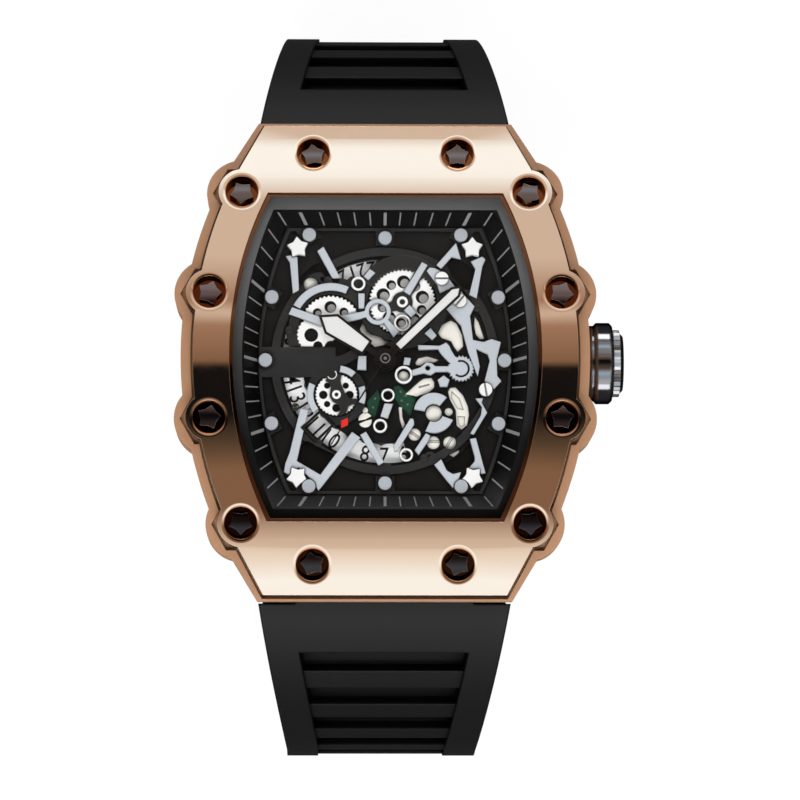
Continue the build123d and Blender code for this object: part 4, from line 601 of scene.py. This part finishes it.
def arc(x, y, outer, inner, start_deg, stop_deg, steps=24):
    """Outline of a part of a flat ring."""
    turns = [math.radians(start_deg + (stop_deg - start_deg) * i / steps) for i in range(steps + 1)]
    rim = [(x + outer * math.cos(turn), y + outer * math.sin(turn)) for turn in turns]
    return rim + [(x + inner * math.cos(turn), y + inner * math.sin(turn)) for turn in reversed(turns)]


def ring(x, y, outer, inner):
    """Outline of a flat ring, with a slit too fine to see."""
    return arc(x, y, outer, inner, 0, 359)


# Two pockets open on the green circuit board, with a few tinned pads on it.
board_height = 0.06 * MM
pad_height = 0.03 * MM
pad_radius, pad_steps = 0.13, 12
right_window = [(0.78, -2.55), (1.42, -2.42), (2.68, -3.48), (3.12, -3.9), (2.55, -5.65), (1.4, -4.45),
                (1.05, -3.95)]
left_window = [(-1.87, -4.2), (-0.7, -2.76), (-0.44, -3.82), (-0.98, -5.68), (-1.6, -5.68)]
pad_places = ((1.6, -3.1), (2.1, -3.5), (1.7, -4.0), (2.3, -4.4), (-1.0, -3.8), (-1.2, -4.7))
board_top = pocket_floor + board_height
board_lacquer = coated("green_board", "17402F", 0.35, grain_mm=0.3, tone=0.25)
cut_out("board_in_pockets", (right_window, left_window), pocket_floor, board_top, board_lacquer)
cut_out("board_pads", [disc(x, y, pad_radius, pad_steps) for x, y in pad_places], board_top,
        board_top + pad_height, metal("tinned_pad", "B8B2A0", 0.35))

# Small black screws hold the plate's layers together round the date ring. Each has a rim and two half faces
# beside its slot.
screw_stand = 0.06 * MM
screw_places = ((-9.05, -4.75), (-6.75, -8.35), (3.95, -9.9), (9.8, -4.1), (9.35, 5.4), (-5.75, 8.2),
                (-9.7, 3.1))
screw_heads = []
for x, y in screw_places:
    screw_heads += [ring(x, y, 0.4, 0.26), arc(x, y, 0.24, 0.04, 20, 175), arc(x, y, 0.24, 0.04, 200, 355)]
cut_out("black_plate_screws", screw_heads, plate_face, plate_top + screw_stand,
        coated("blackened_screw", "2E2E2D", 0.35, edge_colour="0A0A0A", edge_mm=0.06))

# The bridges on the dial
# Thin cut-outs with a cool silver painted face; the cut edges are black, which outlines them, and their
# black also stands for painted shade in the gaps beside them. Painted contact shade darkens the face beside
# taller pieces.
silver_face = coated("silver_painted_bridge", "BEC4CA", 0.5, edge_colour="17181A", edge_mm=0.13,
                     grain_mm=0.06, tone=0.07, painted_shade_mm=0.25)
dress(silver_face, "dial_inlays", "lever_pinion", "split_ring")
dress(coated("satin_grey_stud", "ACB1B7", 0.5, edge_colour="3A3B3D", edge_mm=0.09, grain_mm=0.06, tone=0.12),
      "hour_studs")
dress(coated("black_window_frame", "121212", 0.4), "date_window_frame")

# Each stud stands in a black ring of painted shadow.
shadow_ring_outer, shadow_ring_inner = 0.84, 0.7
shadow_ring_stand = 0.015 * MM
stud_places = ((0, 12.48), (12.09, 0), (7.68, 12.8), (11.46, 6.43))
mirrored_places = sorted({(x * sx, y * sy) for x, y in stud_places for sx in (-1, 1) for sy in (-1, 1)})
cut_out("stud_shadow_rings", [ring(x, y, shadow_ring_outer, shadow_ring_inner) for x, y in mirrored_places], plate_face,
        plate_top + shadow_ring_stand, coated("black_stud_shadow", "070707", 0.5))

# The wheels, bolts and settings on the dial
# Stamped and toothed brass with a bright white nickel face, with painted contact shade beside the pieces over
# it.
white_nickel = coated("white_nickel_face", "F2F2F1", 0.4, edge_colour="1A1A1A", edge_mm=0.1, grain_mm=0.05,
                      tone=0.03, painted_shade_mm=0.3)
dress(white_nickel, "upper_dial_wheel", "left_dial_wheel", "lower_dial_wheel", "dial_star_bolts",
      "dial_screws", "jewel_settings")

# Grey discs of the next layer show through the wheels' holes, shifted a little to one side so that a black
# crescent of painted shadow stays in each hole.
layer_height = 0.05 * MM
grey_layer = coated("grey_under_layer", "9C9A96", 0.45, edge_colour="3A3936", edge_mm=0.08)
low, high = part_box("upper_dial_wheel")
upper_wheel = ((low.x + high.x) / 2 / MM, (low.y + high.y) / 2 / MM, (high.x - low.x) / 2 / MM)
left_wheel = (-5.48, 3.59, 3.11)


def under_holes(wheel, first_turn, holes, shown):
    """Discs under the holes of a wheel, given by its middle and radius, shifted to leave a crescent of
    painted shadow.
    """
    hole_shares, hole_ring_share = (0.19, 0.14), 0.61
    shadow_shift_right, shadow_shift_down, disc_share = 0.2, 0.22, 0.72
    x, y, radius = wheel
    discs = []
    for i in shown:
        turn = math.radians(first_turn + 360 / holes * i)
        hole, reach = radius * hole_shares[i % 2], radius * hole_ring_share
        centre_x, centre_y = x + reach * math.cos(turn), y + reach * math.sin(turn)
        discs.append(disc(centre_x + hole * shadow_shift_right, centre_y - hole * shadow_shift_down, hole * disc_share))
    return discs


discs_below = under_holes(upper_wheel, 14.6, 10, range(10)) + under_holes(left_wheel, 1.5, 8, (1, 2, 3))
cut_out("discs_below_wheels", discs_below, plate_face, plate_face + layer_height, grey_layer)

# Black cocks lie over the wheels' middles, as on a watch movement. Their outlines start from the middles.
wheel_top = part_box("lower_dial_wheel")[1].z
cock_thickness = 0.13 * MM
lower_middle = (-4.91, -3.48)
upper_middle = (1.75, 5.98)
lower_cock = [(-0.55, 2.22), (0.5, 2.11), (0.39, 1.28), (0.83, 0.22), (1.38, -0.39), (2.15, -0.44),
              (2.32, -1.17), (1.66, -0.95), (1.21, -1.17), (1.05, -1.72), (0.5, -2.17), (0.17, -2.06),
              (0.39, -1.61), (0.17, -0.95), (-0.33, -0.72), (-0.66, -0.17), (-0.57, 0.78), (-0.83, 1.28),
              (-1.1, 1.39), (-0.95, 1.75)]
upper_cock = [(0.18, 1.1), (1.25, 3.05), (1.92, 3.2), (2.3, 2.6), (1.77, 2.2), (1.66, 1.68), (0.88, 0.63),
              (1.0, 0.1), (0.85, -0.55), (0.4, -0.95), (-0.1, -1.02), (-0.62, -0.85), (-1.5, -1.1),
              (-1.75, -0.7), (-1.55, -0.2), (-1.0, 0.1), (-0.9, 0.5), (-0.55, 0.85)]
cocks = [[(x + middle[0], y + middle[1]) for x, y in outline]
         for outline, middle in ((lower_cock, lower_middle), (upper_cock, upper_middle))]
black_cock = coated("black_cock_lacquer", "242423", 0.45, edge_colour="0C0C0C", edge_mm=0.1, grain_mm=0.07,
                    tone=0.15)
cut_out("wheel_cocks", cocks, wheel_top, wheel_top + cock_thickness, black_cock)

# A black dish surrounds the upper wheel, and two black covers hide parts of the date ring.
dish_stand = 0.02 * MM
cover_height = 0.1 * MM
# The dish's pale edge colour is a painted highlight along its rims.
black_dish = coated("black_dish", "222221", 0.4, edge_colour="55554F", edge_mm=0.12, grain_mm=0.07, tone=0.12)
cut_out("upper_wheel_dish", [arc(*upper_middle, 4.8, 3.4, 30, 152)], plate_face, plate_top + dish_stand,
        black_dish)
tongue_outline = [(-9.75, 1.45), (-10.05, 2.9), (-8.95, 4.2), (-8.3, 3.0), (-8.3, 1.45)]
lens_outline = [(-4.6, 8.51), (-3.83, 8.29), (-3.46, 8.62), (-2.37, 8.57), (-1.22, 9.25), (-0.6, 8.41),
                (-2.27, 7.47), (-3.83, 7.36), (-4.76, 7.89)]
cut_out("date_ring_covers", [tongue_outline, lens_outline], plate_face, plate_face + cover_height, black_cock)

# A bright rim peeps out beside the bar.
bright_rim_height = 0.03 * MM
cut_out("bright_rims", [arc(-5.37, -1.42, 0.52, 0.4, -155, 50)], plate_top, plate_top + bright_rim_height,
        white_nickel)

# The ivory parts under the bridges
# Warm white moulded parts that fill the gaps between the bridges, with a satin surface and painted contact
# shade beside the bridges.
ivory = coated("ivory_plastic", "ECE8DF", 0.45, edge_colour="4A4640", edge_mm=0.1, tone=0.06, painted_shade_mm=0.5)
dress(ivory, "ivory_train")
slotted_disc = [arc(-1.98, -5.98, 0.7, 0.0, 30, 190), arc(-2.0, -6.12, 0.68, 0.0, 205, 375),
                disc(-2.0, -5.05, 0.3, 16)]
cut_out("slotted_ivory_disc", slotted_disc, plate_face, plate_face + cover_height, ivory)

# The date ring
# White painted brass with black numbers, one for each day, which read from the middle of the dial.
dress(coated("white_date_paint", "FCFCFC", 0.45, tone=0.03), "date_disc")
day_count = 31
number_height = 1.65
number_squeeze = 0.85            # narrow figures
number_foot_ring = 10.35
first_number_deg = 99.2          # the turn of the day before 1, clockwise from 12
print_stand = 0.01 * MM
print_depth = 0.008 * MM


def figures(text):
    """The figures of a number as a flat mesh, in the font's own size."""
    curve = bpy.data.curves.new("number", "FONT")
    curve.body = text
    curve.align_x = "CENTER"
    curve.resolution_u = 4
    curve.offset = 0.004
    lettering = bpy.data.objects.new("number", curve)
    bpy.context.scene.collection.objects.link(lettering)
    bpy.context.view_layer.update()
    mesh = bpy.data.meshes.new_from_object(lettering)
    bpy.data.objects.remove(lettering)
    bpy.data.curves.remove(curve)
    return mesh


font_heights = [vertex.co.y for vertex in figures("88").vertices]
font_scale = number_height * MM / (max(font_heights) - min(font_heights))
scale = Matrix.Diagonal((font_scale * number_squeeze, font_scale, 1, 1))
corners, faces = [], []
for day in range(1, day_count + 1):
    glyphs = figures(str(day))
    turn = math.radians(first_number_deg + 360 / day_count * day)
    centre = Vector((math.sin(turn), math.cos(turn), 0)) * number_foot_ring * MM
    centre.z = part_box("date_disc")[1].z + print_stand
    glyphs.transform(Matrix.Translation(centre) @ Matrix.Rotation(math.pi - turn, 4, "Z") @ scale)
    # A thin plate: the flat faces, the same faces below them, and sides along the outline.
    first, count = len(corners), len(glyphs.vertices)
    corners += [vertex.co.copy() for vertex in glyphs.vertices]
    corners += [corner - Vector((0, 0, print_depth)) for corner in corners[first:]]
    edges = []
    for glyph_face in glyphs.polygons:
        face = [first + i for i in glyph_face.vertices]
        faces += [face, [count + i for i in reversed(face)]]
        edges += zip(face, face[1:] + face[:1])
    faces += [[a, count + a, count + b, b] for a, b in edges if (b, a) not in edges]
    bpy.data.meshes.remove(glyphs)
number_mesh = bpy.data.meshes.new("date_numbers")
number_mesh.from_pydata(corners, [], faces)
number_mesh.shade_smooth()
number_mesh.materials.append(coated("black_date_print", "141414", 0.5, edge_mm=0.01))
date_numbers = bpy.data.objects.new("date_numbers", number_mesh)
bpy.context.scene.collection.objects.link(date_numbers)
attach(date_numbers, "date_ring")

# The hands
# Black frames with a pale luminous filling, and a thin black second hand with a red diamond. The second
# hand's cap has a ring and a middle turned bare.
black_hand = coated("black_hand_lacquer", "100F0E", 0.3)
pale_lume = coated("luminous_paint", "DEDEDC", 0.55, grain_mm=0.05, bump=0.001, tone=0.03)
dress(black_hand, "hour_hand", "minute_hand", "second_hand", "second_arbor")
cap_top = max(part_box(node)[1].z for node in ("second_hand", "second_arbor"))
turned_depth, turned_stand = 0.01 * MM, 0.015 * MM
cut_out("hub_ring", [ring(0, 0, 0.52, 0.4), disc(0, 0, 0.17)], cap_top - turned_depth, cap_top + turned_stand,
        coated("turned_grey_hub", "6C6C6C", 0.35), body="seconds")
dress(pale_lume, "hour_hand_lume", "minute_hand_lume")
dress(coated("red_lacquer", "D8302A", 0.25), "second_hand_diamond")

# The movement
# Nickel plated brass plates, brass wheels, a steel cell, a copper winding and a green board. The plain
# steel also serves for the screws below the case, the crown's tube and the strap's and buckle's bars.
nickel = metal("nickel_plated_brass", "C9C3B4", 0.3, grain_mm=0.06, bump=0.001)
brass = metal("brass_wheels", "D9B066", 0.25, edge_mm=0.02)
steel = metal("plain_steel", "B9BABC", 0.22, edge_mm=0.05)
dress(nickel, "main_plate", "train_bridge")
dress(brass, "cannon_pinion", "hour_wheel", "minute_wheel")
dress(steel, "battery", "battery_clamp", "movement_screws", "case_back_screws", "setting_pinion", "stem",
      "strap_bars", "buckle_bar", "crown_tube")
dress(metal("copper_winding", "B5653A", 0.35, grain_mm=0.05, stretch=(0.3, 8, 8)), "coil")
dress(board_lacquer, "circuit_board")
dress(coated("white_holder", "D5D5D2", 0.5), "movement_ring")

# The case back
# Stainless steel, brushed across the case and left without a coating.
dress(metal("brushed_steel", "B4B4B6", 0.3, grain_mm=0.05, stretch=(18, 1, 1), bump=0.0015), "case_back")

# The crown
# Gunmetal: steel with a dark polished coating. The knurled ring is bare steel, and the domed cap is black.
dress(metal("gunmetal", "8E8E91", 0.1, edge_mm=0.3, spread=0.03, rim_tint="303030"), "crown", "crown_rim")
dress(metal("knurled_steel", "B4B4B6", 0.3, edge_mm=0.05, grain_mm=0.05, bump=0.004, rim_tint="303030"),
      "crown_grip")
dress(coated("black_cap", "070708", 0.5, specular=0.1), "crown_cap")

# The strap and its keepers
# Black silicone rubber, moulded with a fine matt grain, with painted shade in its recesses.
rubber = coated("black_silicone", "0B0B0C", 0.5, edge_mm=0.35, grain_mm=0.09, bump=0.003, specular=0.36,
                painted_shade_mm=4.0)
dress(rubber, "strap_upper", "strap_lower", "fixed_keeper", "free_keeper")

# The buckle
# Polished steel with the bezel's coating, screwed to the strap's shorter half by its bar.
dress(metal("buckle_rose_gold", "EBC0A6", 0.12, edge_mm=0.15), "buckle_frame", "buckle_tongue")
